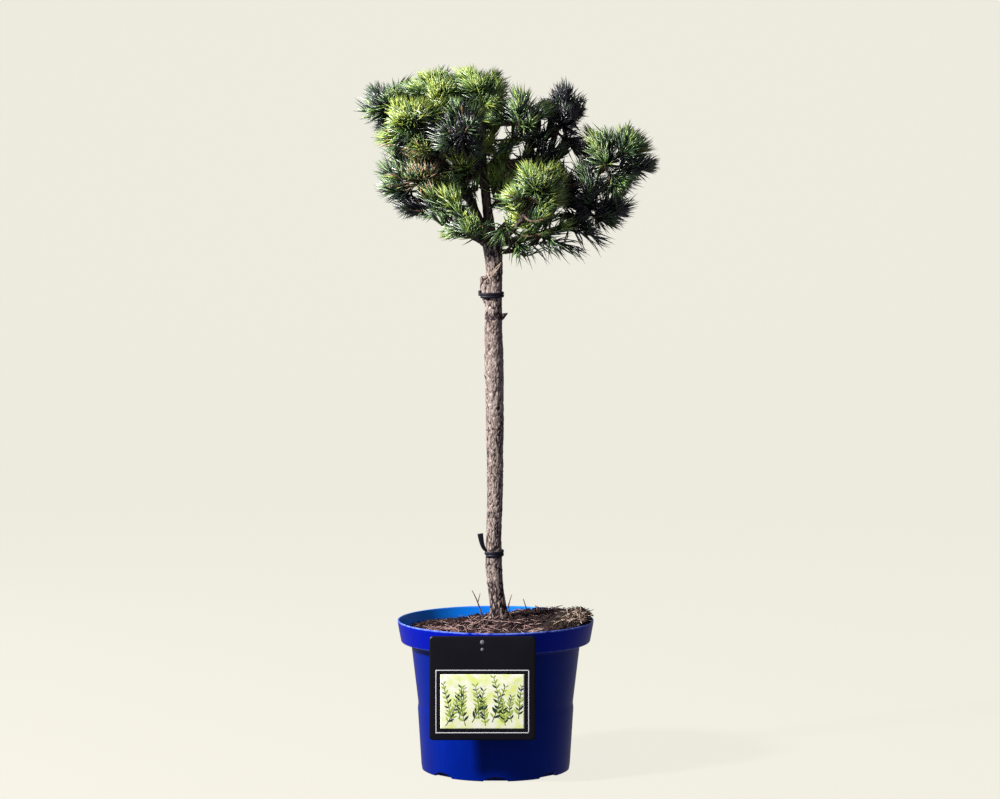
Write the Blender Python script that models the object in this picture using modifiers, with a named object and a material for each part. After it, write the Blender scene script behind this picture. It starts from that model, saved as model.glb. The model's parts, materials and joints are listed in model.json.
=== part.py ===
"""Mugo pine on a straight bare stem, grafted high, with its plastic nursery pot.

Metres, +Z up. The origin is the centre of the pot's flat underside, +X is to the right and -Y faces
the viewer. The stem stands on the soil, forks under the crown into boughs, and each bough ends in a
mass of needles that keeps to its own ellipsoid of space.
"""

import math
import random

import bmesh
import bpy
import numpy as np
from mathutils import Matrix, Vector

GAP = 0.0003

POT_HEIGHT = 0.168
RIM_RADIUS = 0.110
COLLAR_FOOT_RADIUS = 0.106
COLLAR_FOOT_Z = 0.144
BODY_TOP_RADIUS = 0.0942
BODY_TOP_Z = 0.1405
STEP_Z = 0.0745
STEP_RADIUS = 0.0868
STEP_OUT = 0.0007
BASE_RADIUS = 0.0832
POT_WALL = 0.0018
POT_FLOOR = 0.0025
POT_STEPS = 40
NOTCHES = 8
NOTCH_WIDTH = 0.027
NOTCH_HEIGHT = 0.0055

SOIL_EDGE_Z = 0.157
SEAT_Z = 0.168
SEAT_RADIUS = 0.015
SOIL_STEPS = POT_STEPS // 2

# The stem from its foot to its fork: height, sideways place of its middle, width.
STEM = (
    (0.1683, 0.0033, 0.0236),
    (0.1735, 0.0033, 0.0212),
    (0.181, 0.0028, 0.0192),
    (0.197, 0.0007, 0.0179),
    (0.226, -0.0018, 0.0183),
    (0.263, -0.0020, 0.0172),
    (0.304, -0.0010, 0.0174),
    (0.358, -0.0007, 0.0188),
    (0.414, -0.0011, 0.0202),
    (0.459, -0.0020, 0.0208),
    (0.500, -0.0025, 0.0194),
    (0.540, -0.0018, 0.0184),
    (0.566, -0.0018, 0.0190),
    (0.582, -0.0032, 0.0222),
    (0.595, -0.0050, 0.0226),
    (0.603, -0.0055, 0.0150),
)

TIE_THICKNESS = 0.0024
LOWER_TIE_Z = 0.243
UPPER_TIE_Z = 0.5325

CARD_WIDTH = 0.115
CARD_HEIGHT = 0.114
CARD_THICKNESS = 0.0008
CARD_MIDDLE = (-0.0142, -0.1109, 0.1085)
CARD_CORNER = 0.004
STUD_Z = 0.1585

NEEDLE_LENGTH = 0.036
SHOOT_RADIUS = 0.0018
SHOOT_SIDES = 4
SHOOT_RINGS = 5
BARE_SHARE = 0.30
RING_TWIST = math.radians(40)
SPACE_MARGIN = 0.05
LIMB_MARGIN = 0.0014

# Each mass of needles: the middle of its space and its half sizes, in millimetres, and its shoots.
MASSES = {
    "top_left": ((-62, 15, 757), (44, 38, 35), 8),
    "top_mid": ((-19, 5, 756), (40, 40, 34), 8),
    "front_left": ((-93, -52, 716), (40, 38, 38), 7),
    "front_mid": ((-40, -56, 712), (38, 38, 38), 7),
    "far_left": ((-117, 8, 740), (37, 36, 36), 7),
    "low_left": ((-89, -10, 655), (46, 42, 44), 8),
    "under_left": ((-34, -18, 617), (37, 40, 36), 7),
    "inner_left": ((-32, -12, 670), (34, 34, 32), 5),
    "inner_right": ((18, 8, 664), (28, 34, 40), 6),
    "mid_right": ((48, 20, 692), (30, 34, 30), 5),
    "right_center": ((30, -22, 722), (35, 36, 36), 7),
    "right_up": ((75, 15, 726), (33, 38, 45), 8),
    "far_right": ((135, 0, 682), (50, 42, 43), 8),
    "low_right": ((114, 8, 630), (46, 42, 46), 8),
    "front_right": ((47, -50, 645), (40, 42, 38), 8),
    "under_right": ((52, -8, 597), (54, 42, 36), 7),
    "back_left": ((-75, 80, 712), (48, 42, 45), 6),
    "back_mid": ((-14, 78, 715), (36, 42, 40), 6),
    "back_low_left": ((-60, 66, 645), (45, 40, 36), 6),
    "back_right": ((92, 78, 655), (46, 44, 44), 6),
    "back_low_right": ((30, 72, 642), (40, 40, 36), 6),
}

# Each bough: the limb it leaves, how far along that, and its radius at its foot and at its tip.
BOUGHS = {
    "top_mid": ("stem", 0.985, 0.0066, 0.0034),
    "top_left": ("stem", 0.965, 0.0056, 0.0032),
    "right_up": ("stem", 0.975, 0.0052, 0.0030),
    "low_left": ("stem", 0.962, 0.0040, 0.0026),
    "low_right": ("stem", 0.965, 0.0042, 0.0026),
    "front_right": ("stem", 0.96, 0.0036, 0.0024),
    "back_low_left": ("stem", 0.955, 0.0036, 0.0024),
    "back_low_right": ("stem", 0.945, 0.0034, 0.0024),
    "under_left": ("stem", 0.95, 0.0030, 0.0022),
    "under_right": ("stem", 0.945, 0.0030, 0.0022),
    "front_left": ("top_left", 0.55, 0.0032, 0.0024),
    "far_left": ("top_left", 0.72, 0.0030, 0.0024),
    "inner_left": ("top_left", 0.42, 0.0026, 0.0020),
    "front_mid": ("top_mid", 0.40, 0.0032, 0.0024),
    "right_center": ("top_mid", 0.55, 0.0030, 0.0022),
    "inner_right": ("top_mid", 0.22, 0.0026, 0.0020),
    "back_mid": ("top_mid", 0.30, 0.0032, 0.0024),
    "back_left": ("top_left", 0.32, 0.0034, 0.0026),
    "far_right": ("right_up", 0.45, 0.0038, 0.0028),
    "back_right": ("right_up", 0.30, 0.0034, 0.0026),
    "mid_right": ("right_up", 0.62, 0.0024, 0.0020),
}

BARK = ("bark", (0.36, 0.27, 0.22, 1.0), 0.85)
COLOURS = {
    "gold": ("needles_gold", (0.42, 0.52, 0.07, 1.0), 0.5),
    "green": ("needles_green", (0.12, 0.28, 0.05, 1.0), 0.5),
    "dark": ("needles_dark", (0.03, 0.09, 0.03, 1.0), 0.5),
}
GOLD_MASSES = ("top_left", "front_left", "far_left", "top_mid")
DARK_MASSES = ("right_up", "far_right", "low_right", "under_right", "back_right", "mid_right")


def clear_scene():
    for old in list(bpy.data.objects):
        bpy.data.objects.remove(old)


def new_collection(name):
    made = bpy.data.collections.new(name)
    bpy.context.scene.collection.children.link(made)
    return made


def material(name, colour, roughness, metallic=0.0):
    made = bpy.data.materials.get(name)
    if made is None:
        made = bpy.data.materials.new(name)
        made.use_nodes = True
        shader = made.node_tree.nodes["Principled BSDF"]
        shader.inputs["Base Color"].default_value = colour
        shader.inputs["Roughness"].default_value = roughness
        shader.inputs["Metallic"].default_value = metallic
    return made


def mesh_object(name, shape, collection):
    """An object from a bmesh, whose faces are all turned outwards."""
    bmesh.ops.recalc_face_normals(shape, faces=shape.faces)
    if shape.calc_volume(signed=True) < 0.0:
        bmesh.ops.reverse_faces(shape, faces=shape.faces)
    mesh = bpy.data.meshes.new(name)
    shape.to_mesh(mesh)
    shape.free()
    made = bpy.data.objects.new(name, mesh)
    collection.objects.link(made)
    return made


def evaluated_mesh(thing):
    """The mesh that an object has once its curve or its modifiers are worked out."""
    bpy.context.view_layer.update()
    graph = bpy.context.evaluated_depsgraph_get()
    mesh = bpy.data.meshes.new_from_object(thing.evaluated_get(graph))
    mesh.transform(thing.matrix_world)
    return mesh


def replace_by_mesh(thing, collection):
    """The object again as a plain mesh, with its caps welded to its sides."""
    name = thing.name
    mesh = evaluated_mesh(thing)
    bpy.data.objects.remove(thing)
    shape = bmesh.new()
    shape.from_mesh(mesh)
    bmesh.ops.remove_doubles(shape, verts=shape.verts, dist=0.00001)
    return mesh_object(name, shape, collection)


def tube(name, points, radii, resolution, collection):
    """A limb: a line of points, with a radius at each, swept by a circle of 4 + 2 * resolution sides."""
    curve = bpy.data.curves.new(name, "CURVE")
    curve.dimensions = "3D"
    curve.bevel_depth = 1.0
    curve.bevel_resolution = resolution
    curve.use_fill_caps = True
    spline = curve.splines.new("POLY")
    spline.points.add(len(points) - 1)
    for node, place, radius in zip(spline.points, points, radii):
        node.co = (*place, 1.0)
        node.radius = radius
    made = bpy.data.objects.new(name, curve)
    collection.objects.link(made)
    return replace_by_mesh(made, collection)


def boolean(target, operation, collection, solver="EXACT"):
    """Joins to the target, or cuts from it, everything in the collection, then removes that."""
    step = target.modifiers.new("join", "BOOLEAN")
    step.operation = operation
    step.operand_type = "COLLECTION"
    step.collection = collection
    step.solver = solver
    mesh = evaluated_mesh(target)
    target.modifiers.clear()
    target.data = mesh
    for used in list(collection.objects):
        bpy.data.objects.remove(used)
    tidy_body(target)


def tidy_body(target):
    """Keeps the largest closed shell: loose scraps and sealed hollows go."""
    shape = bmesh.new()
    shape.from_mesh(target.data)
    bmesh.ops.remove_doubles(shape, verts=shape.verts, dist=0.000001)
    unseen = set(shape.faces)
    shells = []
    while unseen:
        first = unseen.pop()
        shell = [first]
        for face in shell:
            for edge in face.edges:
                for other in edge.link_faces:
                    if other in unseen:
                        unseen.discard(other)
                        shell.append(other)
        shells.append(shell)
    shells.sort(key=len, reverse=True)
    for shell in shells[1:]:
        bmesh.ops.delete(shape, geom=shell, context="FACES")
    bmesh.ops.triangulate(shape, faces=shape.faces)
    shape.to_mesh(target.data)
    shape.free()


def dress(thing, name, colour, roughness, smooth=False):
    thing.data.materials.clear()
    thing.data.materials.append(material(name, colour, roughness))
    for face in thing.data.polygons:
        face.use_smooth = smooth


def lathe(name, profile, steps, collection):
    """A round solid: a profile of (radius, height) pairs turned once round the Z axis."""
    shape = bmesh.new()
    points = [shape.verts.new((radius, 0.0, height)) for radius, height in profile]
    for start, end in zip(points, points[1:]):
        shape.edges.new((start, end))
    mesh = bpy.data.meshes.new(name)
    shape.to_mesh(mesh)
    shape.free()
    made = bpy.data.objects.new(name, mesh)
    collection.objects.link(made)
    turn = made.modifiers.new("turn", "SCREW")
    turn.axis = "Z"
    turn.angle = math.tau
    turn.steps = steps
    turn.render_steps = steps
    turn.use_merge_vertices = True
    turn.merge_threshold = 0.00001
    return made


def make_pot(collection, cutters):
    lip = 0.0004
    pot = lathe(
        "pot",
        (
            (0.0, POT_FLOOR),
            (BASE_RADIUS - POT_WALL, POT_FLOOR),
            (STEP_RADIUS - POT_WALL, STEP_Z),
            (BODY_TOP_RADIUS - POT_WALL, BODY_TOP_Z + POT_WALL),
            (COLLAR_FOOT_RADIUS - POT_WALL, COLLAR_FOOT_Z + POT_WALL),
            (RIM_RADIUS - POT_WALL, POT_HEIGHT - lip),
            (RIM_RADIUS - POT_WALL + lip, POT_HEIGHT),
            (RIM_RADIUS - lip, POT_HEIGHT),
            (RIM_RADIUS, POT_HEIGHT - lip),
            (COLLAR_FOOT_RADIUS, COLLAR_FOOT_Z),
            (BODY_TOP_RADIUS, BODY_TOP_Z),
            (STEP_RADIUS, STEP_Z),
            (STEP_RADIUS + STEP_OUT, STEP_Z - 0.002),
            (BASE_RADIUS, 0.0015),
            (BASE_RADIUS - 0.0012, 0.0),
            (0.0, 0.0),
        ),
        POT_STEPS,
        collection,
    )
    for number in range(NOTCHES):
        angle = -math.pi / 2 + number * math.tau / NOTCHES
        shape = bmesh.new()
        bmesh.ops.create_cone(
            shape,
            cap_ends=True,
            segments=6,
            radius1=NOTCH_WIDTH / 2,
            radius2=NOTCH_WIDTH / 2,
            depth=0.014,
            matrix=Matrix.Rotation(math.pi / 2, 4, "Y") @ Matrix.Rotation(math.pi / 6, 4, "Z"),
        )
        bmesh.ops.scale(shape, vec=(1.0, 1.0, NOTCH_HEIGHT * 2 / NOTCH_WIDTH), verts=shape.verts)
        bmesh.ops.translate(shape, vec=(BASE_RADIUS + 0.0005, 0.0, 0.0), verts=shape.verts)
        bmesh.ops.rotate(shape, matrix=Matrix.Rotation(angle, 3, "Z"), verts=shape.verts)
        cutter = mesh_object(f"notch_{number}", shape, cutters)
        cutter.hide_render = True
        cutter.display_type = "WIRE"
    boolean(pot, "DIFFERENCE", cutters)
    dress(pot, "pot_blue", (0.01, 0.03, 0.42, 1.0), 0.3)
    return pot


def soil_height(x, y):
    """The top of the soil: low at the left, a mound round the stem, a heap that leans on the right rim."""
    from_stem = math.hypot(x - STEM[0][1], y)
    mound = 0.0115 * math.exp(-((from_stem / 0.042) ** 2))
    slope = 0.008 * (x / 0.1)
    heap = 0.011 * math.exp(-(((x - 0.088) / 0.026) ** 2) - ((y + 0.006) / 0.040) ** 2)
    behind = 0.006 * math.exp(-(((x - 0.05) / 0.035) ** 2) - ((y - 0.06) / 0.03) ** 2)
    bumps = 0.0013 * math.sin(150 * x + 60 * y) * math.cos(170 * y - 40 * x)
    return SOIL_EDGE_Z + mound + slope + heap + behind + bumps


def make_soil(collection, joined):
    room = POT_WALL + GAP
    collar = COLLAR_FOOT_RADIUS - room
    edge = RIM_RADIUS - room - 0.0012
    soil = lathe(
        "soil",
        (
            (0.0, SOIL_EDGE_Z),
            (SEAT_RADIUS, SOIL_EDGE_Z),
            (0.032, SOIL_EDGE_Z),
            (0.053, SOIL_EDGE_Z),
            (0.076, SOIL_EDGE_Z),
            (0.094, SOIL_EDGE_Z),
            (edge, SOIL_EDGE_Z),
            (collar - 0.0001, COLLAR_FOOT_Z + room + 0.0012),
            (BODY_TOP_RADIUS - room - 0.0002, BODY_TOP_Z + room + 0.0004),
            (STEP_RADIUS - room - 0.0002, STEP_Z),
            (BASE_RADIUS - room - 0.0004, POT_FLOOR + GAP),
            (0.0, POT_FLOOR + GAP),
        ),
        SOIL_STEPS,
        collection,
    )
    soil = replace_by_mesh(soil, collection)
    for vertex in soil.data.vertices:
        x, y, z = vertex.co
        if z > SOIL_EDGE_Z - 0.0001:
            reach = math.hypot(x, y)
            if reach < SEAT_RADIUS + 0.001:
                vertex.co.z = SEAT_Z
            else:
                vertex.co.z = soil_height(x, y)
            if reach > 0.1:
                share = (vertex.co.z - COLLAR_FOOT_Z - POT_WALL) / (POT_HEIGHT - COLLAR_FOOT_Z - POT_WALL)
                wall = COLLAR_FOOT_RADIUS + (RIM_RADIUS - COLLAR_FOOT_RADIUS) * min(share, 0.95)
                vertex.co.x *= (wall - room - 0.0002) / reach
                vertex.co.y *= (wall - room - 0.0002) / reach
    twigs = (
        ((-0.0120, -0.020, 0.160), (-0.0263, -0.020, 0.2035), 0.0013),
        ((0.0205, -0.004, 0.158), (0.0140, -0.004, 0.186), 0.0011),
        ((0.0140, -0.004, 0.180), (0.0185, -0.004, 0.197), 0.0009),
        ((0.0380, 0.030, 0.160), (0.0309, 0.030, 0.1875), 0.0010),
        ((0.080, -0.010, 0.160), (0.0985, -0.014, 0.1810), 0.0018),
        ((0.088, 0.004, 0.160), (0.0990, 0.008, 0.1800), 0.0018),
        ((0.072, 0.010, 0.160), (0.0810, 0.012, 0.1795), 0.0018),
        ((0.090, -0.020, 0.162), (0.1060, -0.030, 0.1740), 0.0018),
    )
    for number, (foot, tip, radius) in enumerate(twigs):
        tube(f"twig_{number}", (foot, tip), (radius, radius * 0.35), 0, joined)
    boolean(soil, "UNION", joined)
    dress(soil, "soil_brown", (0.06, 0.035, 0.025, 1.0), 0.95)
    return soil


def stem_point(height):
    """The middle of the stem and its radius at a height."""
    heights = [row[0] for row in STEM]
    across = float(np.interp(height, heights, [row[1] for row in STEM]))
    width = float(np.interp(height, heights, [row[2] for row in STEM]))
    return Vector((across, 0.0, height)), width / 2


def stem_line():
    """The middle line of the stem and its radii, a little larger so that its flat sides span the width."""
    points = [(across, 0.0, height) for height, across, _ in STEM]
    return points, [width / 2 * 1.02 for _, _, width in STEM]


def make_stem(collection, joined):
    """The bare stem, with a cut stub at the left of the graft and a dry spur at the right below it."""
    points, radii = stem_line()
    stem = tube("stem", points, radii, 3, collection)
    tube(
        "shoulder",
        ((-0.0050, -0.001, 0.519), (-0.0088, -0.001, 0.533), (-0.0112, -0.001, 0.5535)),
        (0.0055, 0.0082, 0.0062),
        1,
        joined,
    )
    tube(
        "spur",
        ((0.001, -0.001, 0.504), (0.0078, -0.002, 0.5075), (0.0132, -0.0025, 0.5125)),
        (0.0040, 0.0026, 0.0008),
        1,
        joined,
    )
    tube("bud", ((-0.006, -0.002, 0.4370), (-0.0125, -0.003, 0.4425)), (0.003, 0.001), 0, joined)
    boolean(stem, "UNION", joined)
    dress(stem, *BARK, smooth=True)
    return stem


def make_tie(name, height, centre_x, reach, tail, collection):
    """A strap of two turns round the stem, with its loose end turned outwards."""
    steps = 24
    places = []
    radii = []
    for step in range(steps + 1):
        angle = math.radians(215) + step * math.tau / 12
        rise = (step / steps - 0.5) * 0.0062
        places.append((centre_x + reach[0] * math.cos(angle), reach[1] * math.sin(angle), height + rise))
        radii.append(TIE_THICKNESS / 2)
    for place, radius in tail:
        places.append(place)
        radii.append(radius)
    tie = tube(name, places, radii, 0, collection)
    dress(tie, "tie_black", (0.012, 0.012, 0.014, 1.0), 0.5)
    return tie


def make_card(collection, joined):
    """The plain label card in front of the collar, held by a small stud."""
    middle = Vector(CARD_MIDDLE)
    shape = bmesh.new()
    bmesh.ops.create_cube(shape, size=1.0)
    bmesh.ops.scale(shape, vec=(CARD_WIDTH, CARD_THICKNESS, CARD_HEIGHT), verts=shape.verts)
    corners = []
    for edge in shape.edges:
        run = edge.verts[0].co - edge.verts[1].co
        if abs(run.x) + abs(run.z) < 1e-6:
            corners.append(edge)
    bmesh.ops.bevel(shape, geom=corners, offset=CARD_CORNER, segments=3, profile=0.5, affect="EDGES")
    bmesh.ops.translate(shape, vec=middle, verts=shape.verts)
    card = mesh_object("label_card", shape, collection)
    along_y = Matrix.Rotation(math.pi / 2, 4, "X")
    shape = bmesh.new()
    bmesh.ops.create_cone(
        shape,
        cap_ends=True,
        segments=8,
        radius1=0.0022,
        radius2=0.0022,
        depth=0.0026,
        matrix=Matrix.Translation((middle.x, middle.y + 0.0005, STUD_Z)) @ along_y,
    )
    mesh_object("stud", shape, joined)
    boolean(card, "UNION", joined)
    dress(card, "card_black", (0.02, 0.02, 0.025, 1.0), 0.45)
    return card


def unit(vector):
    return vector / np.linalg.norm(vector)


class Limb:
    """A tapered line of points that twigs and needles must keep clear of."""

    def __init__(self, points, radii):
        self.points = np.array(points, dtype=float)
        self.radii = np.array(radii, dtype=float)

    def at(self, fraction):
        lengths = np.linalg.norm(np.diff(self.points, axis=0), axis=1)
        along = np.concatenate([[0.0], np.cumsum(lengths)])
        place = fraction * along[-1]
        point = np.array([np.interp(place, along, self.points[:, axis]) for axis in range(3)])
        return point, float(np.interp(place, along, self.radii))

    def distance(self, places):
        """How far each place is from the surface of the limb."""
        start = self.points[:-1][None]
        reach = (self.points[1:] - self.points[:-1])[None]
        offset = places[:, None] - start
        share = np.clip((offset * reach).sum(-1) / (reach * reach).sum(-1), 0.0, 1.0)
        gap = np.linalg.norm(offset - share[..., None] * reach, axis=-1)
        radius = self.radii[:-1][None] * (1 - share) + self.radii[1:][None] * share
        return (gap - radius).min(axis=1)


def mass_space(name):
    middle, half, shoots = MASSES[name]
    return np.array(middle) / 1000.0, np.array(half) / 1000.0, shoots


def bough_path(parent, fraction, name):
    """Five points from the middle of the parent limb to the near side of the mass: out first, then up."""
    start, _ = parent.at(fraction)
    middle, half, _ = mass_space(name)
    heading = unit(middle - start)
    heading = unit(heading + np.array([0.0, 0.0, 0.25]))
    reach = 1.0 / np.linalg.norm(heading / half)
    tip = middle - heading * reach * 0.66
    bend = np.array(
        [
            start[0] + 0.62 * (tip[0] - start[0]),
            start[1] + 0.62 * (tip[1] - start[1]),
            start[2] + 0.36 * (tip[2] - start[2]),
        ]
    )
    share = np.linspace(0.0, 1.0, 5)[:, None]
    return (1 - share) ** 2 * start + 2 * share * (1 - share) * bend + share**2 * tip


def in_space(name, places, margin):
    """Whether each place is inside the ellipsoid of the mass and nearer to it than to any other."""

    def depth(other):
        middle, half, _ = mass_space(other)
        return np.linalg.norm((places - middle) / half, axis=-1)

    own = depth(name)
    inside = own < 1.0
    for other in MASSES:
        if other != name:
            inside &= depth(other) - own > margin
    return inside


def clear_of_limbs(places, limbs, margin):
    room = np.ones(len(places), dtype=bool)
    for limb in limbs:
        room &= limb.distance(places) > margin
    return room


def segment_gap(lines, start, end):
    """The least distance between one line and each of several, by trying points along it."""
    starts = np.array([line[0] for line in lines])
    reach = np.array([line[1] for line in lines]) - starts
    tried = start + (end - start) * np.linspace(0.0, 1.0, 9)[:, None]
    offset = tried[:, None] - starts[None]
    along = np.clip((offset * reach[None]).sum(-1) / (reach * reach).sum(-1)[None], 0.0, 1.0)
    return np.linalg.norm(offset - along[..., None] * reach[None], axis=-1).min(axis=0)


def shoot_directions(count, seed):
    """Headings spread evenly over a ball, turned upwards as pine shoots are."""
    dice = random.Random(seed)
    turn = dice.uniform(0.0, math.tau)
    headings = []
    for number in range(count):
        height = 1.0 - (2.0 * number + 1.0) / count
        ring = math.sqrt(max(0.0, 1.0 - height * height))
        angle = turn + number * math.pi * (3.0 - math.sqrt(5.0))
        headings.append(unit(np.array([ring * math.cos(angle), ring * math.sin(angle), height + 0.22])))
    return headings


def make_shoot(name, number, turn_at, core, state, collection):
    """A slim four-sided core whose side faces are drawn out into needles that lean towards its tip."""
    foot, end_of_core = core
    length = float(np.linalg.norm(end_of_core - foot))
    axis = Vector((end_of_core - foot) / length)
    shape = bmesh.new()
    bmesh.ops.create_cone(
        shape,
        cap_ends=True,
        segments=SHOOT_SIDES,
        radius1=SHOOT_RADIUS * 1.15,
        radius2=SHOOT_RADIUS * 0.75,
        depth=1.0,
        matrix=Matrix.Translation((0.0, 0.0, 0.5)),
    )
    long_edges = [edge for edge in shape.edges if abs(edge.verts[0].co.z - edge.verts[1].co.z) > 0.5]
    bmesh.ops.subdivide_edges(shape, edges=long_edges, cuts=SHOOT_RINGS - 1, use_grid_fill=True)
    for vertex in shape.verts:
        ring = round(vertex.co.z * SHOOT_RINGS)
        if ring:
            vertex.co.z = BARE_SHARE + (1 - BARE_SHARE) * (ring - 1) / (SHOOT_RINGS - 1)
        angle = turn_at + ring * RING_TWIST
        slim = 1.0 if ring else 0.5
        x, y = vertex.co.x * slim, vertex.co.y * slim
        vertex.co.x = x * math.cos(angle) - y * math.sin(angle)
        vertex.co.y = x * math.sin(angle) + y * math.cos(angle)
        vertex.co.z *= length
    turn = axis.to_track_quat("Z", "Y").to_matrix().to_4x4()
    bmesh.ops.transform(shape, matrix=Matrix.Translation(Vector(foot)) @ turn, verts=shape.verts)
    sides = []
    for face in shape.faces:
        middle = face.calc_center_median()
        along = (middle - Vector(foot)).dot(axis) / length
        if along > BARE_SHARE:
            sides.append((along, middle.copy(), face))
    sides.sort(key=lambda side: -side[0])
    other_cores = [other for index, other in enumerate(state["cores"]) if index != number]
    for along, middle, face in sides:
        outward = middle - Vector(foot) - axis * (along * length)
        if outward.length < 0.0001:
            heading = axis
        else:
            lean = math.radians(66 - 44 * along)
            heading = axis * math.cos(lean) + outward.normalized() * math.sin(lean)
            heading = (heading + Vector((0.0, 0.0, 0.06))).normalized()
        start = np.array(middle)
        for share in (1.0, 0.82, 0.66, 0.5):
            end = start + np.array(heading) * NEEDLE_LENGTH * share
            places = start + (end - start) * np.linspace(0.1, 1.0, 7)[:, None]
            if not in_space(name, places, SPACE_MARGIN).all():
                continue
            if not clear_of_limbs(places, state["limbs"], LIMB_MARGIN).all():
                continue
            if segment_gap(other_cores, start, end).min() < SHOOT_RADIUS + 0.0008:
                continue
            others = [needle for owner, needle in state["needles"] if owner != number]
            if others and segment_gap(others, start, end).min() < 0.0018:
                continue
            poked = bmesh.ops.poke(shape, faces=[face])
            poked["verts"][0].co = Vector(end)
            state["needles"].append((number, (start, end)))
            break
    return mesh_object(f"{name}_shoot_{number}", shape, collection)


def make_mass(name, order, bough, limbs, collection, joined):
    """One stem from the bough's tip into the space, with shoots all round it that needles stand out of."""
    middle, half, shoots = mass_space(name)
    tip = bough.points[-1]
    heading = unit(bough.points[-1] - bough.points[-2])
    foot = tip + heading * GAP
    radius = float(bough.radii[-1])
    bend = foot + heading * 0.3 * np.linalg.norm(middle - foot)
    end = middle + np.array([0.0, 0.0, 0.10 * half[2]])
    radii = (radius, radius * 0.9, SHOOT_RADIUS * 1.2)
    mass = tube(f"needles_{name}", (foot, bend, end), radii, 0, collection)
    others = list(limbs.values())
    cores = []
    for number, direction in enumerate(shoot_directions(shoots, 7 * order + 3)):
        root = bend + (end - bend) * (1.0 - 0.8 * number / (shoots - 1))
        target = middle + direction * half * 0.9
        core_end = root + (target - root) * 0.52
        places = root + (core_end - root) * np.linspace(0.3, 1.0, 5)[:, None]
        if not clear_of_limbs(places, others, SHOOT_RADIUS + LIMB_MARGIN).all():
            continue
        if not in_space(name, places, SPACE_MARGIN * 2.5).all():
            continue
        cores.append((root, core_end))
    state = {"cores": cores, "needles": [(-1, (foot, end))], "limbs": others}
    for number, core in enumerate(cores):
        make_shoot(name, number, 0.7 * number + order, core, state, joined)
    boolean(mass, "UNION", joined, "MANIFOLD")
    if name in GOLD_MASSES:
        dress(mass, *COLOURS["gold"])
    elif name in DARK_MASSES:
        dress(mass, *COLOURS["dark"])
    else:
        dress(mass, *COLOURS["green"])
    print(name, "needles", len(state["needles"]) - 1, "faces", len(mass.data.polygons))
    return mass


def make_boughs(collection, cutters):
    """Every bough, cut 0.3 mm clear of the limbs that were there before it."""
    limbs = {"stem": Limb(*stem_line())}
    for name, (parent, fraction, foot_radius, tip_radius) in BOUGHS.items():
        points = bough_path(limbs[parent], fraction, name)
        radii = np.linspace(foot_radius, tip_radius, len(points))
        bough = tube(f"bough_{name}", points, radii, 1, collection)
        for key, limb in limbs.items():
            if limb.distance(points).min() < foot_radius + 0.001:
                round_off = 3 if key == "stem" else 1
                cutter = tube(f"clearance_{key}", limb.points, limb.radii + GAP * 1.15, round_off, cutters)
                cutter.hide_render = True
                cutter.display_type = "WIRE"
        boolean(bough, "DIFFERENCE", cutters)
        dress(bough, *BARK, smooth=True)
        limbs[name] = Limb(points, radii)
    return limbs


def main():
    clear_scene()
    collection = new_collection("mugo_pine_in_pot")
    cutters = new_collection("cutters")
    joined = new_collection("pieces_to_join")
    make_pot(collection, cutters)
    make_soil(collection, joined)
    make_stem(collection, joined)
    reach = 0.0093 + GAP + TIE_THICKNESS / 2
    make_tie(
        "tie_lower",
        LOWER_TIE_Z,
        stem_point(LOWER_TIE_Z)[0].x,
        (reach + 0.0003, reach + 0.0003),
        (
            ((-0.0135, -0.0085, 0.2490), 0.0020),
            ((-0.0160, -0.0085, 0.2590), 0.0030),
            ((-0.0170, -0.0085, 0.2640), 0.0030),
        ),
        collection,
    )
    make_tie("tie_upper", UPPER_TIE_Z, -0.0050, (0.0142, 0.0122), (), collection)
    make_card(collection, joined)
    limbs = make_boughs(collection, cutters)
    for order, name in enumerate(MASSES):
        make_mass(name, order, limbs[name], limbs, collection, joined)
    bpy.context.scene.collection.children.unlink(cutters)
    bpy.context.scene.collection.children.unlink(joined)


main()
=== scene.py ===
"""The looks of a mugo pine grafted on a bare stem, in its blue nursery pot. Metres, +Z up, -Y to the viewer.

The crown grows here by the same rule as its solids: each mass keeps to an ellipsoid of space at the tip
of its bough, a stem runs into it, shoots stand all round the stem, and needles stand all round the
shoots. Here the shoots branch once more and carry the full number of needles.
"""

import itertools
import json
import math
import random

import bmesh
import bpy
import numpy as np
from mathutils import Matrix, Vector

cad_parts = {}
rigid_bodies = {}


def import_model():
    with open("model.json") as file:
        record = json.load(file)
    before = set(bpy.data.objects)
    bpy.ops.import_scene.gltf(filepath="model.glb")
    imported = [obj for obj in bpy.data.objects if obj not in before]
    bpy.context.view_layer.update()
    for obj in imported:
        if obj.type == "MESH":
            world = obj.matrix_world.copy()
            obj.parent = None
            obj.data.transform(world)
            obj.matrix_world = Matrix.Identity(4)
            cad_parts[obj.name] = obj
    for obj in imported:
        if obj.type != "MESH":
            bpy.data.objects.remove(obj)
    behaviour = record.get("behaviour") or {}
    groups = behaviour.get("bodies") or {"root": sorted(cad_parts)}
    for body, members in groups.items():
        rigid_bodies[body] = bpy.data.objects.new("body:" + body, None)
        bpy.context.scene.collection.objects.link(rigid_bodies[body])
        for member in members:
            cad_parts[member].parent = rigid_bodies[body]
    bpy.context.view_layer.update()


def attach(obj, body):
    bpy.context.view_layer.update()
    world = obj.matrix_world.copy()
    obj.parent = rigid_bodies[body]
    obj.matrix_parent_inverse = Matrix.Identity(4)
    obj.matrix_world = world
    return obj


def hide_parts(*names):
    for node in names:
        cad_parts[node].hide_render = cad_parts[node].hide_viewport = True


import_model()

GAP = 0.0003

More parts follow.
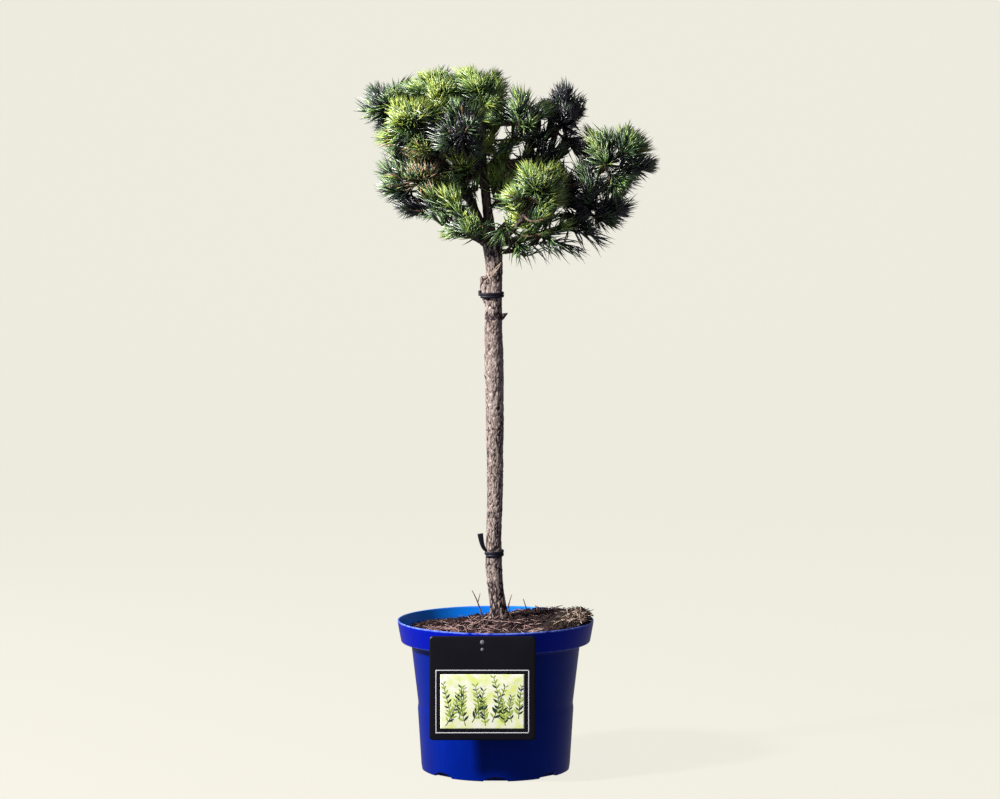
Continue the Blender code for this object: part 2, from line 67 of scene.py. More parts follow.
POT_HEIGHT = 0.168
RIM_RADIUS = 0.110
COLLAR_FOOT_RADIUS = 0.106
COLLAR_FOOT_Z = 0.144
BODY_TOP_RADIUS = 0.0942
BODY_TOP_Z = 0.1405
STEP_Z = 0.0745
STEP_RADIUS = 0.0868
STEP_OUT = 0.0007
BASE_RADIUS = 0.0832
POT_WALL = 0.0018
POT_FLOOR = 0.0025
NOTCHES = 8
NOTCH_WIDTH = 0.027
NOTCH_HEIGHT = 0.0055

SOIL_EDGE_Z = 0.157
SEAT_Z = 0.168

# The heaps of the soil: height, middle and spread. The first leans on the right rim.
SOIL_HEAPS = (
    (0.011, (0.088, -0.006), (0.026, 0.040)),
    (0.006, (0.05, 0.06), (0.035, 0.03)),
    (0.0055, (-0.076, 0.015), (0.022, 0.045)),
)

# The strands on the soil: a piece, its light and dark colour and its roughness, then its beds. A bed is
# the count, the nearest and furthest radius and, where they are gathered, x, y and spread; then the
# strands' length, thickness and rise, their lift over the soil and the radius that holds them in.
STRANDS = (
    ("fibre_brown", (0.050, 0.020, 0.021), (0.007, 0.0033, 0.0042), 0.8, (
        ((1500, 0.013, 0.103), (0.006, 0.022), (0.0003, 0.0008), (-0.1, 0.3), 0.0012, 0.1055),
    )),
    ("fibre_tan", (0.68, 0.46, 0.43), (0.13, 0.065, 0.06), 0.8, (
        ((100, 0.013, 0.102), (0.006, 0.015), (0.0002, 0.00042), (0.0, 0.35), 0.0026, 0.1055),
        ((90, 0, 0.1, (0.0, -0.045, 0.024)), (0.006, 0.02), (0.00022, 0.00048), (0.0, 0.4), 0.003, 0.1055),
        ((70, 0, 0.1, (-0.06, -0.03, 0.016)), (0.007, 0.022), (0.00025, 0.0005), (0.0, 0.45), 0.0034, 0.1055),
    )),
    ("straw_pale", (0.60, 0.47, 0.38), (0.17, 0.10, 0.08), 0.6, (
        (
            (120, 0, 0.110, (0.088, -0.032, 0.011)),
            (0.005, 0.013), (0.0003, 0.0007), (-0.2, 0.5), 0.0042, 0.1125,
        ),
        ((44, 0.02, 0.1), (0.006, 0.016), (0.0003, 0.0006), (0.0, 0.3), 0.003, 0.1055),
    )),
    ("moss_dark", (0.05, 0.035, 0.024), (0.010, 0.008, 0.007), 0.8, (
        (
            (900, 0, 0.108, (0.087, -0.028, 0.013)),
            (0.003, 0.009), (0.0004, 0.0011), (-0.3, 0.7), 0.0022, 0.1120,
        ),
    )),
)

# The stem from its foot to its fork: height, sideways place of its middle, width.
STEM = (
    (0.1683, 0.0033, 0.0236),
    (0.1735, 0.0033, 0.0212),
    (0.181, 0.0028, 0.0192),
    (0.197, 0.0007, 0.0179),
    (0.226, -0.0018, 0.0183),
    (0.263, -0.0020, 0.0172),
    (0.304, -0.0010, 0.0174),
    (0.358, -0.0007, 0.0188),
    (0.414, -0.0011, 0.0202),
    (0.459, -0.0020, 0.0208),
    (0.500, -0.0025, 0.0194),
    (0.540, -0.0018, 0.0184),
    (0.566, -0.0018, 0.0190),
    (0.582, -0.0032, 0.0222),
    (0.595, -0.0050, 0.0226),
    (0.603, -0.0055, 0.0150),
)

LOWER_TIE_Z = 0.243
UPPER_TIE_Z = 0.5325

CARD_WIDTH = 0.115
CARD_HEIGHT = 0.114
CARD_THICKNESS = 0.0008
CARD_MIDDLE = (-0.0142, -0.1109, 0.1085)
CARD_CORNER = 0.004
STUD_Z = 0.1585
# The printed frame's middle beside the card's, half its width and height, and the width of its line.
FRAME_MIDDLE = (-0.0001, -0.0147)
FRAME_HALF_WIDE = 0.0503
FRAME_HALF_HIGH = 0.0342
FRAME_LINE = 0.0009
PANEL_WIDTH = 0.0912
PANEL_HEIGHT = 0.0596
INK = 0.0003
SPRIGS_OUT = 0.00022

SHOOT_RADIUS = 0.0018
LIMB_MARGIN = 0.0008

# Each mass of needles: the middle of its space and its half sizes, in millimetres, its main shoots, and
# its mean tone from 0, gold, to 4, deep shade. The tones paint light and shade as well as colour: masses
# in the crown's shade are painted darker, and the inner masses lighter, as painted light. Past 4 nearly
# all of its needles are in deep shade.
MASSES = {
    "top_left": ((-62, 15, 757), (44, 38, 35), 8, 0.8),
    "top_mid": ((-19, 5, 756), (40, 40, 34), 8, 1.1),
    "front_left": ((-93, -52, 716), (40, 38, 38), 7, 0.8),
    "front_mid": ((-40, -56, 712), (38, 38, 38), 7, 3.3),
    "far_left": ((-117, 8, 740), (37, 36, 36), 7, 2.9),
    "low_left": ((-89, -10, 655), (46, 42, 44), 8, 2.8),
    "under_left": ((-34, -18, 617), (37, 40, 36), 7, 1.4),
    "inner_left": ((-32, -12, 670), (34, 34, 32), 5, 0.5),
    "inner_right": ((18, 8, 664), (28, 34, 40), 6, 0.8),
    "mid_right": ((48, 20, 692), (30, 34, 30), 5, 4.0),
    "right_center": ((30, -22, 722), (35, 36, 36), 7, 2.2),
    "right_up": ((75, 15, 726), (33, 38, 45), 8, 4.6),
    "far_right": ((135, 0, 682), (50, 42, 43), 8, 2.1),
    "low_right": ((114, 8, 630), (46, 42, 46), 8, 3.7),
    "front_right": ((47, -50, 645), (40, 42, 38), 8, 1.1),
    "under_right": ((52, -8, 597), (54, 42, 36), 7, 1.1),
    "back_left": ((-75, 80, 712), (48, 42, 45), 6, 1.8),
    "back_mid": ((-14, 78, 715), (36, 42, 40), 6, 1.8),
    "back_low_left": ((-60, 66, 645), (45, 40, 36), 6, 2.6),
    "back_right": ((92, 78, 655), (46, 44, 44), 6, 2.8),
    "back_low_right": ((30, 72, 642), (40, 40, 36), 6, 2.8),
}

# Each bough: the limb it leaves, how far along that, and its radius at its foot and at its tip.
BOUGHS = {
    "top_mid": ("stem", 0.985, 0.0066, 0.0034),
    "top_left": ("stem", 0.965, 0.0056, 0.0032),
    "right_up": ("stem", 0.975, 0.0052, 0.0030),
    "low_left": ("stem", 0.962, 0.0040, 0.0026),
    "low_right": ("stem", 0.965, 0.0042, 0.0026),
    "front_right": ("stem", 0.96, 0.0036, 0.0024),
    "back_low_left": ("stem", 0.955, 0.0036, 0.0024),
    "back_low_right": ("stem", 0.945, 0.0034, 0.0024),
    "under_left": ("stem", 0.95, 0.0030, 0.0022),
    "under_right": ("stem", 0.945, 0.0030, 0.0022),
    "front_left": ("top_left", 0.55, 0.0032, 0.0024),
    "far_left": ("top_left", 0.72, 0.0030, 0.0024),
    "inner_left": ("top_left", 0.42, 0.0026, 0.0020),
    "front_mid": ("top_mid", 0.40, 0.0032, 0.0024),
    "right_center": ("top_mid", 0.55, 0.0030, 0.0022),
    "inner_right": ("top_mid", 0.22, 0.0026, 0.0020),
    "back_mid": ("top_mid", 0.30, 0.0032, 0.0024),
    "back_left": ("top_left", 0.32, 0.0034, 0.0026),
    "far_right": ("right_up", 0.45, 0.0038, 0.0028),
    "back_right": ("right_up", 0.30, 0.0034, 0.0026),
    "mid_right": ("right_up", 0.62, 0.0024, 0.0020),
}

# Openings where the sky shows through the crown and bays in its outline, seen from the front: middle and
# half size, across and up, in millimetres, and the share of the needles that are left there.
SKY_WINDOWS = (
    ((-13.5, 626), (5.0, 15), 0.0),
    ((14, 634), (2, 2), 0.3),
    ((9, 711), (7, 6), 0.03),
    ((22, 687), (8, 4), 0.05),
    ((28, 697), (8, 4), 0.10),
    ((44, 689), (7, 5), 0.08),
    ((62, 700), (9, 7), 0.12),
    ((53, 719), (3.5, 12), 0.03),
    ((89, 690), (6, 5), 0.25),
    ((80, 674), (6, 5), 0.20),
    ((92, 652), (7, 9), 0.20),
    ((78, 624), (13, 5), 0.15),
    ((79, 582), (40, 17), 0.07),
    ((34, 590), (6, 5), 0.06),
    ((54, 606), (6, 4), 0.10),
    ((18, 586), (6, 4), 0.06),
    ((48, 590), (8, 5), 0.08),
    ((66, 611), (6, 3), 0.10),
    ((28, 603), (4, 3), 0.10),
    ((28, 570), (18, 6), 0.10),
    ((106, 668), (5, 5), 0.20),
    ((118, 640), (5, 4), 0.20),
    ((108, 612), (16, 5), 0.50),
    ((111, 722), (9, 5), 0.10),
    ((154, 638), (8, 12), 0.15),
    ((-103, 776), (6, 7), 0.10),
    ((-153, 744), (8, 16), 0.20),
    ((-95, 605), (20, 10), 0.25),
    ((-33, 636), (7, 6), 0.06),
    ((-42, 587), (24, 6), 0.12),
)

# Shoots that hang below the crown: the bough they leave, how far along it, their bend, their end, the
# pitch of their needles and their tone.
DROOPING = (
    ("under_right", 0.92, (0.056, -0.016, 0.596), (0.078, -0.020, 0.588), 0.0026, 3.2),
    ("low_right", 0.80, (0.084, -0.012, 0.604), (0.106, -0.018, 0.598), 0.0026, 3.4),
    ("low_right", 0.55, (0.050, -0.020, 0.604), (0.060, -0.030, 0.592), 0.0024, 2.8),
    ("under_right", 0.55, (0.022, -0.026, 0.596), (0.026, -0.036, 0.586), 0.0015, 1.9),
    ("front_right", 0.45, (0.014, -0.036, 0.612), (0.008, -0.044, 0.604), 0.0014, 2.0),
)

NEEDLE_LENGTH = 0.0300
NEEDLE_RADIUS = 0.00088
NEEDLE_PITCH = 0.00066
NEEDLES_A_PIECE = 19000
# Whole needles, and the shares to which those without room are cut.
NEEDLE_CUTS = (1.0, 0.84, 0.68)
# The share of a shoot that is bare at its foot.
BARE_SHARE = 0.28
# How far needles lean from their shoot, in degrees: at its foot, how much less at its tip, how unevenly,
# and for those crowded on the tip.
LEAN = 70.0
LEAN_LESS = 46.0
LEAN_SPREAD = 6.0
LEAN_AT_TIP = (2.0, 34.0)

SHOOT_STEPS = 7
SHOOT_TURN = 2.4
# How far a main shoot goes of the way to the edge of its space, a side shoot of its main shoot's length,
# and a short shoot in metres.
MAIN_REACH = (0.55, 0.78)
SIDE_REACH = (0.60, 0.95)
SHORT_REACH = (0.018, 0.034)
SHORT_SHOOTS = 10
# The golden angle, in half turns.
GOLDEN_TURN = 3.0 - math.sqrt(5.0)
# The half angle of a fan of needles round a main shoot, in degrees.
FAN_WIDTH = 42.0

# The dry spots of the crown, seen from the front: middle and half size, across and up, and the share of
# the needles there that are straw. A straw needle's tone lies far beyond those of the living ones.
DRY_SPOTS = (
    ((-0.072, 0.666), (0.020, 0.018), 0.50),
    ((-0.094, 0.690), (0.010, 0.010), 0.45),
)
STRAW_TONE = 20.0

# The needle colours, from the gold of the winter tips to the deep shade inside the crown.
TONES = {
    "gold": ((0.48, 0.57, 0.105), (0.27, 0.35, 0.056), "needles_gold"),
    "lime": ((0.225, 0.375, 0.102), (0.125, 0.225, 0.052), "needles_gold"),
    "green": ((0.118, 0.215, 0.070), (0.062, 0.127, 0.042), "needles_green"),
    "deep": ((0.053, 0.099, 0.055), (0.028, 0.054, 0.036), "needles_green"),
    "shade": ((0.041, 0.040, 0.054), (0.018, 0.017, 0.027), "needles_dark"),
    "straw": ((0.58, 0.38, 0.22), (0.34, 0.19, 0.10), None),
}

CAMERA_PLACE = (0.0049, -3.2, 0.6281)
CAMERA_PITCH = 0.0665
CAMERA_LENS = 103.4

UP = np.array([0.0, 0.0, 1.0])


# Numbers


def unit(vectors):
    """Each vector divided by its length."""
    return vectors / np.maximum(np.linalg.norm(vectors, axis=-1, keepdims=True), 1e-12)


def lattice_noise(places, seed=0):
    """Smooth values from -1 to 1: a hashed number at each whole place, blended by 3t^2 - 2t^3 between."""
    cell = np.floor(places).astype(np.int64)
    part = places - cell
    blend = part * part * (3.0 - 2.0 * part)
    total = np.zeros(places.shape[:-1])
    for corner in itertools.product((0, 1), repeat=3):
        spot = cell + np.array(corner)
        # Large odd numbers mix the whole coordinates and the seed into one number.
        mixed = spot[..., 0] * 73856093 ^ spot[..., 1] * 19349663 ^ spot[..., 2] * 83492791
        mixed ^= seed * 2654435 + 1013
        mixed = (mixed ^ (mixed >> 13)) * 1274126177 & 0xFFFFFFFF
        value = ((mixed ^ (mixed >> 16)) & 0xFFFF) / 32767.5 - 1.0
        total += value * np.prod(np.where(np.array(corner) == 1, blend, 1.0 - blend), axis=-1)
    return total


def layered_noise(places, layers, seed=0):
    """Lattice noise summed over layers, each of twice the detail and half the height."""
    total = np.zeros(places.shape[:-1])
    for layer in range(layers):
        total += lattice_noise(places * 2.0**layer + 17.3 * layer, seed + layer) / 2.0**layer
    return total


def smooth_through(stations, values, at):
    """A curve through the stations: the cubic whose slope at each station is that between its neighbours."""
    stations, values = np.asarray(stations), np.asarray(values)
    slopes = np.gradient(values, stations)
    left = np.clip(np.searchsorted(stations, at, side="right") - 1, 0, len(stations) - 2)
    width = stations[left + 1] - stations[left]
    share = np.clip((at - stations[left]) / width, 0.0, 1.0)
    square, cube = share**2, share**3
    return (
        (2 * cube - 3 * square + 1) * values[left]
        + (cube - 2 * square + share) * width * slopes[left]
        + (3 * square - 2 * cube) * values[left + 1]
        + (cube - square) * width * slopes[left + 1]
    )


def bezier(start, bend, end, count):
    """Points (1-t)^2 start + 2t(1-t) bend + t^2 end, for one curve or for a stack of them."""
    share = np.linspace(0.0, 1.0, count)[:, None]
    start, bend, end = (np.asarray(place)[..., None, :] for place in (start, bend, end))
    return (1 - share) ** 2 * start + 2 * share * (1 - share) * bend + share**2 * end


def run_of(path):
    """How far along the path each of its points lies."""
    return np.concatenate([[0.0], np.cumsum(np.linalg.norm(np.diff(path, axis=0), axis=1))])


def read_at(places, run, values):
    """The values of a path's points, with straight lines between them, at places along its run."""
    return np.stack([np.interp(places, run, column) for column in values.T], axis=-1)


def hill(*offsets):
    """A smooth bump of height 1: e to the minus the sum of the squared offsets."""
    return np.exp(-sum(offset**2 for offset in offsets))


def ramped(values, start, width):
    """0 up to the start, 1 from a width beyond it on, and a straight slope between."""
    return np.clip((values - start) / width, 0.0, 1.0)


def circle(count):
    """Evenly spaced angles round one turn."""
    return np.arange(count) * math.tau / count


def round_points(radius, height, angle):
    """The points (r cos a, r sin a, h)."""
    return np.stack([radius * np.cos(angle), radius * np.sin(angle), height + 0 * angle], axis=-1)


# Meshes


def put_mesh(name, points, faces, finish, slot, smooth=True, marks=None):
    """One piece from its points, its faces in arrays of equal corner counts, and its finish."""
    points = np.asarray(points, dtype=np.float32).reshape(-1, 3)
    corners = np.concatenate([group.ravel() for group in faces]).astype(np.int32)
    sizes = np.concatenate([np.full(len(group), group.shape[1]) for group in faces])
    starts = np.concatenate([[0], np.cumsum(sizes)[:-1]]).astype(np.int32)
    mesh = bpy.data.meshes.new(name)
    mesh.vertices.add(len(points))
    mesh.vertices.foreach_set("co", points.ravel())
    mesh.loops.add(len(corners))
    mesh.loops.foreach_set("vertex_index", corners)
    mesh.polygons.add(len(sizes))
    mesh.polygons.foreach_set("loop_start", starts)
    mesh.update(calc_edges=True)
    mesh.polygons.foreach_set("use_smooth", np.full(len(sizes), smooth))
    for label, values in (marks or {}).items():
        layer = mesh.attributes.new(label, "FLOAT", "POINT")
        layer.data.foreach_set("value", np.asarray(values, dtype=np.float32).ravel())
    mesh.materials.append(finish)
    piece = bpy.data.objects.new(name, mesh)
    bpy.context.scene.collection.objects.link(piece)
    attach(piece, "root")
    return piece


def grid_faces(rows, columns, round_columns=True):
    """Quads of a grid of points, row by row; with round_columns the last column meets the first."""
    across = np.arange(columns if round_columns else columns - 1)
    row, column = np.meshgrid(np.arange(rows - 1) * columns, across, indexing="ij")
    beside = (column + 1) % columns
    corners = [row + column, row + beside, row + columns + beside, row + columns + column]
    return np.stack(corners, axis=-1).reshape(-1, 4)


def closed_rows(rows, sides, copies=1, size=None):
    """Faces of rings of points, row by row, then a flat face on each end, for copies one after another."""
    base = (np.arange(copies) * (size or rows * sides))[:, None, None]
    ring = np.arange(sides)
    groups = (grid_faces(rows, sides), ring[::-1][None], ((rows - 1) * sides + ring)[None])
    return [(group[None] + base).reshape(-1, group.shape[1]) for group in groups]


def fan(pole, ring):
    """Triangles from a pole to each point of a ring and the next."""
    return np.stack([np.full(len(ring), pole), ring, np.roll(ring, -1)], axis=-1)


def poled_rows(rows, steps):
    """Faces of rings of points, closed by a fan on each of the two poles that follow them."""
    ring = np.arange(steps)
    last = fan(rows * steps + 1, (rows - 1) * steps + ring)[:, [0, 2, 1]]
    return [grid_faces(rows, steps)[:, ::-1], np.concatenate([fan(rows * steps, ring), last])]


def stacked(shapes):
    """Several (points, faces) shapes as one."""
    points, groups, count = [], {}, 0
    for shape_points, shape_faces in shapes:
        shape_points = np.asarray(shape_points).reshape(-1, 3)
        points.append(shape_points)
        for faces in shape_faces:
            groups.setdefault(faces.shape[1], []).append(faces + count)
        count += len(shape_points)
    return np.concatenate(points), [np.concatenate(faces) for faces in groups.values()]


def tubes(paths, radii, sides, pointed=False):
    """Many tubes at once, from paths (k, n, 3) and radii (k, n).

    Round each path point stands a ring, place + r (cos a * across + sin a * up), square to the path.
    The ends are closed by a flat face, or the far one by a point.
    """
    count, stations = paths.shape[:2]
    along = unit(np.gradient(paths, axis=1))
    mean = unit(along.mean(axis=1))
    guide = np.where(np.abs(mean[:, 2:3]) > 0.8, [[1.0, 0.0, 0.0]], [[0.0, 0.0, 1.0]])
    across = unit(np.cross(along, guide[:, None]))
    up = np.cross(along, across)
    angle = circle(sides)[:, None]
    ring = np.cos(angle) * across[:, :, None] + np.sin(angle) * up[:, :, None]
    rings = paths[:, :, None] + radii[:, :, None, None] * ring
    if not pointed:
        return rings.reshape(-1, 3), closed_rows(stations, sides, count)
    points = np.concatenate([rings[:, :-1].reshape(count, -1, 3), paths[:, -1:]], axis=1)
    size = points.shape[1]
    quads, start_cap, _ = closed_rows(stations - 1, sides, count, size)
    last = size - 1 - sides + np.arange(sides)
    tips = np.stack([last, np.roll(last, -1), np.full(sides, size - 1)], axis=-1)
    tips = tips[None] + (np.arange(count) * size)[:, None, None]
    return points.reshape(-1, 3), [quads, tips.reshape(-1, 3), start_cap]


def softened(profile, reach, steps):
    """A line of points with rounded corners: each becomes the curve (1-t)^2 a + 2t(1-t) corner + t^2 b."""
    profile = np.asarray(profile, dtype=float)
    rounded = [profile[:1]]
    for before, corner, after in zip(profile, profile[1:], profile[2:]):
        into, out = before - corner, after - corner
        near = min(reach, 0.45 * np.linalg.norm(into), 0.45 * np.linalg.norm(out))
        rounded.append(bezier(corner + unit(into) * near, corner, corner + unit(out) * near, steps))
    rounded.append(profile[-1:])
    return np.concatenate(rounded)


def turned(profile, steps):
    """A lathe shape: each (radius, height) of the profile goes round, and its two ends are poles."""
    rings = round_points(profile[1:-1, :1], profile[1:-1, 1:], circle(steps))
    poles = np.array([[0.0, 0.0, profile[0, 1]], [0.0, 0.0, profile[-1, 1]]])
    return np.concatenate([rings.reshape(-1, 3), poles]), poled_rows(len(profile) - 2, steps)


# Finishes


class Value:
    """A socket of a material, on which arithmetic adds Math nodes."""

    def __init__(self, finish, socket):
        self.finish = finish
        self.socket = socket

    def math(self, operation, *others):
        return self.finish.node("ShaderNodeMath", {"operation": operation}, dict(enumerate((self, *others))))

    def __add__(self, other):
        return self.math("ADD", other)

    __radd__ = __add__

    def __mul__(self, other):
        return self.math("MULTIPLY", other)

    __rmul__ = __mul__

    def __sub__(self, other):
        return self.math("SUBTRACT", other)

    def __rsub__(self, other):
        return (self * -1.0) + other

    def __pow__(self, other):
        return self.math("POWER", other)

    def above(self, edge, width):
        """0 below the edge and 1 above it, with a ramp of that width between."""
        return ((self - edge) * (1.0 / width) + 0.5).clamped()

    def clamped(self):
        return self.math("MAXIMUM", 0.0).math("MINIMUM", 1.0)


class Finish:
    """A material in the making, with one Principled shader."""

    def __init__(self, name, roughness=0.6, **steady):
        self.material = bpy.data.materials.new(name)
        self.material.use_nodes = True
        self.tree = self.material.node_tree
        self.shader = self.tree.nodes["Principled BSDF"]
        self.feed(self.shader.inputs["Roughness"], roughness)
        for socket, value in steady.items():
            self.shader.inputs[socket.replace("_", " ")].default_value = value

    def feed(self, socket, value):
        if isinstance(value, Value):
            self.tree.links.new(value.socket, socket)
        else:
            bare_colour = socket.type == "RGBA" and isinstance(value, tuple) and len(value) == 3
            socket.default_value = (*value, 1.0) if bare_colour else value

    def node(self, kind, settings=None, values=None, output=0):
        """A node of this kind: its settings, a ramp's stops among them, then its sockets, and one output."""
        made = self.tree.nodes.new(kind)
        for label, value in (settings or {}).items():
            if label == "stops":
                for place, colour in value[2:]:
                    made.color_ramp.elements.new(place)
                for stop, (place, colour) in zip(made.color_ramp.elements, value):
                    stop.position = place
                    stop.color = (*colour, 1.0)
            else:
                setattr(made, label, value)
        for label, value in (values or {}).items():
            self.feed(made.inputs[label], value)
        return Value(self, made.outputs[output])

    def place(self, scale=(1.0, 1.0, 1.0)):
        """Object coordinates, stretched."""
        spot = self.node("ShaderNodeTexCoord", output="Object")
        return self.node("ShaderNodeMapping", values={"Vector": spot, "Scale": scale})

    def mark(self, label):
        """A number that the mesh holds at each point."""
        return self.node("ShaderNodeAttribute", {"attribute_name": label}, output="Fac")

    def noise(self, size, detail=3.0, stretch=(1.0, 1.0, 1.0), roughness=0.5):
        """Noise from 0 to 1 whose blotches are about this size, in metres."""
        spot = self.place(stretch)
        values = {"Vector": spot, "Scale": 1.0 / size, "Detail": detail, "Roughness": roughness}
        return self.node("ShaderNodeTexNoise", values=values)

    def ramp(self, factor, *stops):
        return self.node("ShaderNodeValToRGB", {"stops": stops}, {"Fac": factor})

    def mix(self, factor, first, second):
        """The first colour where the factor is 0 and the second where it is 1."""
        return self.node("ShaderNodeMix", {"data_type": "RGBA"}, {0: factor, 6: first, 7: second}, output=2)

    def bump(self, height, distance, strength=1.0):
        values = {"Height": height, "Distance": distance, "Strength": strength}
        raised = self.node("ShaderNodeBump", values=values)
        self.feed(self.shader.inputs["Normal"], raised)

    def done(self, colour, roughness=None):
        self.feed(self.shader.inputs["Base Color"], colour)
        if roughness is not None:
            self.feed(self.shader.inputs["Roughness"], roughness)
        return self.material


def pot_blue():
    """Glossy royal blue plastic, brighter on its collar, with painted light inside, where light comes
    through, and painted highlights along the rim and round the collar's foot.
    """
    finish = Finish("pot_blue", Specular_IOR_Level=0.45, Specular_Tint=(0.16, 0.40, 1.0, 1.0))
    cloud = finish.noise(0.05, 4.0)
    streak = finish.noise(0.006, 3.0, (1.0, 1.0, 0.12))
    dust = (finish.noise(0.0016, 2.0) * cloud).above(0.42, 0.10)
    across, along, height = (
        finish.node("ShaderNodeSeparateXYZ", values={"Vector": finish.place()}, output=axis) for axis in "XYZ"
    )
    collar = height.above(COLLAR_FOOT_Z, 0.002)
    slope = (RIM_RADIUS - COLLAR_FOOT_RADIUS) / (POT_HEIGHT - COLLAR_FOOT_Z)
    outer = COLLAR_FOOT_RADIUS - slope * COLLAR_FOOT_Z
    radius = (across * across + along * along) ** 0.5
    inside = (radius - height * slope).above(outer - POT_WALL / 2, POT_WALL / 4) * -1.0 + 1.0
    inside = inside * height.above(COLLAR_FOOT_Z + 0.006, 0.002)
    body = finish.mix(cloud, (0.0, 0.008, 0.18), (0.0, 0.014, 0.28))
    colour = finish.mix(collar, body, (0.0006, 0.006, 0.36))
    colour = finish.mix(streak.above(0.62, 0.2) * 0.12, colour, (0.001, 0.03, 0.50))
    colour = finish.mix(dust * 0.01, colour, (0.16, 0.17, 0.26))
    # Painted highlights: a lighter blue line along the rim's top edge and round the collar's foot, broken by
    # the streaks.
    rim_highlight = height.above(POT_HEIGHT - 0.0014, 0.0008)
    foot_highlight = height.above(COLLAR_FOOT_Z - 0.0008, 0.0006) - height.above(COLLAR_FOOT_Z + 0.0008, 0.0006)
    edge_highlights = (rim_highlight * 0.9 + foot_highlight * 0.4) * streak.above(0.45, 0.4)
    colour = finish.mix(edge_highlights, colour, (0.20, 0.32, 0.95))
    # Painted light: above the collar's foot the inside wall is a lighter blue, for the light that falls on it
    # and comes through it.
    colour = finish.mix(inside * (0.55 + cloud * 0.6).clamped(), colour, (0.006, 0.25, 1.0))
    finish.bump(finish.noise(0.022, 2.0), 0.0006, 0.35)
    return finish.done(colour, 0.16 + streak * 0.12 + dust * 0.25)


def bark(name, light, dark, fissure):
    """Bark: pale plates over dark fissures, where the relief of the mesh says, with grey lichen blotches. On
    the stem that mark also carries painted shade under the crown.
    """
    finish = Finish(name, Specular_IOR_Level=0.3)
    relief = finish.mark("relief")
    blotch = finish.noise(0.014, 4.0, (1.0, 1.0, 0.45))
    grain = finish.noise(0.0022, 5.0, (1.0, 1.0, 0.32), 0.7)
    plate = finish.mix(blotch.above(0.5, 0.35), light, dark)
    plate = finish.mix(grain.above(0.52, 0.2) * 0.65, plate, tuple(0.38 * part for part in dark))
    fleck = finish.noise(0.0013, 3.0, (1.0, 1.0, 0.36))
    pale = tuple(min(1.0, 1.75 * part) for part in light)
    plate = finish.mix(fleck.above(0.58, 0.10) * 0.70, plate, pale)
    colour = finish.mix(relief.above(0.36, 0.24), fissure, plate)
    finish.bump(grain, 0.0005, 0.9)
    return finish.done(colour, 0.9 - relief * 0.12)


def two_shades(name, light, dark, roughness=0.8, rougher=0.1, gloss=0.3):
    """Two shades of one colour in soft patches, for needles and for dry strands."""
    finish = Finish(name, Specular_IOR_Level=gloss)
    patch = finish.noise(0.006, 2.0)
    return finish.done(finish.mix(patch.above(0.5, 0.4), dark, light), roughness + patch * rougher)


def soil_finish():
    """Moist dark compost with lighter crumbs."""
    finish = Finish("soil_brown", Specular_IOR_Level=0.35)
    crumb = finish.noise(0.0022, 4.0)
    patch = finish.noise(0.02, 3.0)
    stops = (0.34, (0.002, 0.001, 0.0015)), (0.78, (0.075, 0.042, 0.042)), (0.58, (0.011, 0.005, 0.006))
    colour = finish.ramp(crumb, *stops)
    colour = finish.mix(patch.above(0.58, 0.2) * 0.4, colour, (0.05, 0.030, 0.030))
    finish.bump(crumb, 0.0016, 1.0)
    return finish.done(colour, 0.95 - patch * 0.15)


def satin_black(name, roughness, tone=1.0):
    """Black moulded plastic or card, with a fine grain in its gloss."""
    finish = Finish(name, Specular_IOR_Level=0.3)
    patch = finish.noise(0.02, 3.0)
    fine = finish.noise(0.0008, 2.0)
    finish.bump(fine, 0.00008, 0.4)
    shades = (0.002, 0.002, 0.0045), (0.0045, 0.0045, 0.0085)
    low, high = (tuple(tone * part for part in shade) for shade in shades)
    return finish.done(finish.mix(patch, low, high), roughness + fine * 0.15)


def printed_panel():
    """The card's printed ground: pale clouds of yellow and green that run into near white."""
    finish = Finish("panel_print", Specular_IOR_Level=0.4)
    cloud = finish.noise(0.014, 4.0)
    fleck = finish.noise(0.0035, 3.0)
    stops = (0.36, (0.82, 0.92, 0.28)), (0.60, (1.0, 1.0, 0.97)), (0.48, (1.0, 1.0, 0.62))
    colour = finish.ramp(cloud, *stops)
    colour = finish.mix(fleck.above(0.62, 0.12) * 0.5, colour, (0.60, 0.74, 0.20))
    return finish.done(colour, 0.35 + fleck * 0.2)


def plain_print(name, colour, roughness=0.4):
    """A flat printed colour with a little unevenness in the ink."""
    finish = Finish(name, Specular_IOR_Level=0.4)
    ink = finish.noise(0.002, 2.0)
    return finish.done(finish.mix(ink * 0.5, colour, tuple(0.7 * part for part in colour)), roughness)


# Pot, soil, card and ties


